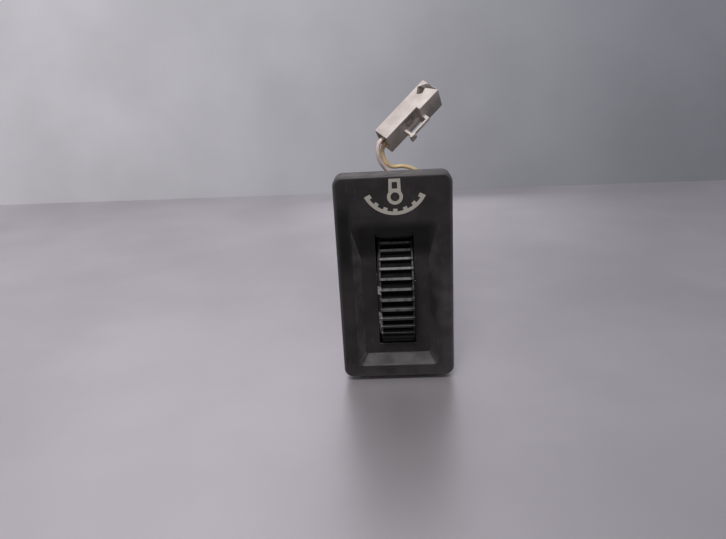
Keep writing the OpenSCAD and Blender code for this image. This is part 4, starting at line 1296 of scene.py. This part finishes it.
@dataclass
class Housing:
    """The moulded shells of the switch: bezel, case and cover, and the metal that holds them."""

    case_edge: float = 0.3
    screw_edge: float = 0.25
    grommet_edge: float = 0.25
    small_segments: int = 3
    bezel: BezelFinish = BezelFinish(
        "bezel_plastic", (0.0168, 0.0152, 0.0162), 0.48, gloss=0.3, worn_and_highlight_colour=(0.152, 0.143, 0.147),
        grain_depth=0.014, edge_radius=0.35, wear=0.28, settled=0.29, film=0.05, scratch=0.2,
    )
    case: PlasticFinish = PlasticFinish(
        "case_plastic", (0.021, 0.021, 0.022), 0.44, grain_cells=2600.0, grain_depth=0.008,
        edge_radius=0.25, wear=0.3, settled=0.3, film=0.05, scratch=0.35,
    )
    steel: MetalFinish = MetalFinish("zinc_steel", (0.56, 0.57, 0.58), 0.34)
    spring: MetalFinish = MetalFinish("spring_steel", (0.4, 0.41, 0.43), 0.3, (0.16, 0.13, 0.11), 0.5)
    rubber: PlasticFinish = PlasticFinish(
        "grommet_rubber", (0.018, 0.018, 0.018), 0.72, grain_cells=1800.0, wear=0.15, settled=0.4, film=0.08,
        scratch=0.0,
    )

    def build(self) -> Pieces:
        """Dress the shells and their fastenings.

        Returns:
            The shells and the dressed nodes.
        """
        bezel, case, steel = self.bezel.material(), self.case.material(), self.steel.material()
        rubber, spring = self.rubber.material(), self.spring.material()
        small = self.small_segments
        return [
            *dress(["bezel"], bezel),
            softened("case", case, Body.SWITCH, self.case_edge),
            softened("rear_cover", case, Body.SWITCH, self.case_edge),
            softened("cover_screws", steel, Body.SWITCH, self.screw_edge, small),
            softened("wire_grommet", rubber, Body.SWITCH, self.grommet_edge, small),
            *dress(["former_rivets", "wheel_axle"], steel),
            *dress(["retaining_clip_top", "retaining_clip_bottom", "wave_washer"], spring),
        ]


@dataclass
class RibbedWheel:
    """The thumbwheel that turns in the bezel's slot."""

    rib_edge: float = 0.18
    rib_segments: int = 3
    finish: WheelFinish = WheelFinish(
        "wheel_plastic", (0.011, 0.011, 0.0115), 0.46, gloss=0.35, worn_and_highlight_colour=(0.152, 0.149, 0.147),
        grain_depth=0.008, edge_radius=0.15, wear=0.3, settled=0.12, film=0.03, scratch=0.1,
    )

    def build(self) -> Pieces:
        """Dress the wheel and return it."""
        plastic = self.finish.material()
        return [softened("thumbwheel", plastic, Body.WHEEL, self.rib_edge, self.rib_segments)]


@dataclass
class Rheostat:
    """The wound track, its terminals and the wiper, shut in the case."""

    brass: MetalFinish = MetalFinish("brass", (0.7, 0.5, 0.2), 0.32, (0.3, 0.2, 0.1), 0.4)
    # The wiper's bronze is dark: partly tarnish, partly painted shade, so that it shows no glint through the
    # slot's gap.
    bronze: MetalFinish = MetalFinish("dull_bronze", (0.24, 0.15, 0.085), 0.45, (0.09, 0.06, 0.045), 0.7)
    wire: MetalFinish = MetalFinish("resistance_wire", (0.42, 0.38, 0.32), 0.36, (0.2, 0.16, 0.12), 0.5)
    ceramic: PlasticFinish = PlasticFinish(
        "ceramic", (0.66, 0.61, 0.52), 0.8, worn_and_highlight_colour=(0.7, 0.66, 0.58), grain_cells=3000.0, wear=0.1,
        settled=0.1, film=0.03, scratch=0.05,
    )
    fibre: PlasticFinish = PlasticFinish(
        "fibre", (0.26, 0.12, 0.05), 0.7, worn_and_highlight_colour=(0.35, 0.2, 0.1), grain_cells=2400.0, wear=0.2,
        settled=0.1, film=0.03, scratch=0.05,
    )

    def build(self) -> Pieces:
        """Dress what is inside the case.

        Returns:
            The dressed nodes.
        """
        return [
            *dress(["wiper"], self.bronze.material()),
            *dress(["winding_terminal", "collector_terminal"], self.brass.material()),
            *dress(["resistance_winding"], self.wire.material()),
            *dress(["resistor_former"], self.ceramic.material()),
            *dress(["thrust_washer"], self.fibre.material()),
        ]


@dataclass
class Connector:
    """The two-way connector on the wires' end."""

    edge: float = 0.2
    housing: PlasticFinish = PlasticFinish(
        "connector_plastic", (0.57, 0.50, 0.475), 0.42, worn_and_highlight_colour=(0.75, 0.71, 0.7),
        dust_colour=(0.36, 0.32, 0.3), grain_cells=1600.0, grain_depth=0.01, edge_radius=0.25, wear=0.35,
        settled=0.04, film=0.12, scratch=0.2,
    )
    retainer: PlasticFinish = PlasticFinish(
        "retainer_plastic", (0.46, 0.41, 0.39), 0.45, worn_and_highlight_colour=(0.55, 0.5, 0.48), wear=0.2, settled=0.1,
        scratch=0.05,
    )
    contact: MetalFinish = MetalFinish("tinned_contact", (0.72, 0.72, 0.71), 0.25)
    tabs: tuple[str, str] = ("connector_tab_upper", "connector_tab_lower")

    def build(self) -> Pieces:
        """Dress the connector.

        Returns:
            The pieces on the wires' end.
        """
        shell = self.housing.material()
        housing = softened("connector_housing", shell, Body.SWITCH, self.edge)
        pale = self.retainer.material()
        wedge = softened("connector_retainer", pale, Body.SWITCH, self.edge / 2)
        return [housing, wedge, *dress(self.tabs, self.contact.material())]


def report(part: str, pieces: Pieces) -> None:
    """Report each piece of a sub-assembly under its name."""
    for piece in pieces:
        LOG.info("%s: %s", part, piece if isinstance(piece, str) else piece.name)


def main() -> None:
    """Build the scene: camera, connector and wires first, then the switch, the stage and the light."""
    logging.basicConfig(level=logging.INFO, format="%(name)s: %(message)s")
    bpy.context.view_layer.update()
    Effects().build()
    studio = Studio()
    studio.camera()
    carried = Connector().build()
    report("connector", carried)
    report("wires", LeadWires().build(carried))
    report("housing", Housing().build())
    report("sign", DimmerSymbol().build())
    report("wheel", RibbedWheel().build())
    report("rheostat", Rheostat().build())
    studio.stage()
    studio.light()


if __name__ == "__main__":
    main()
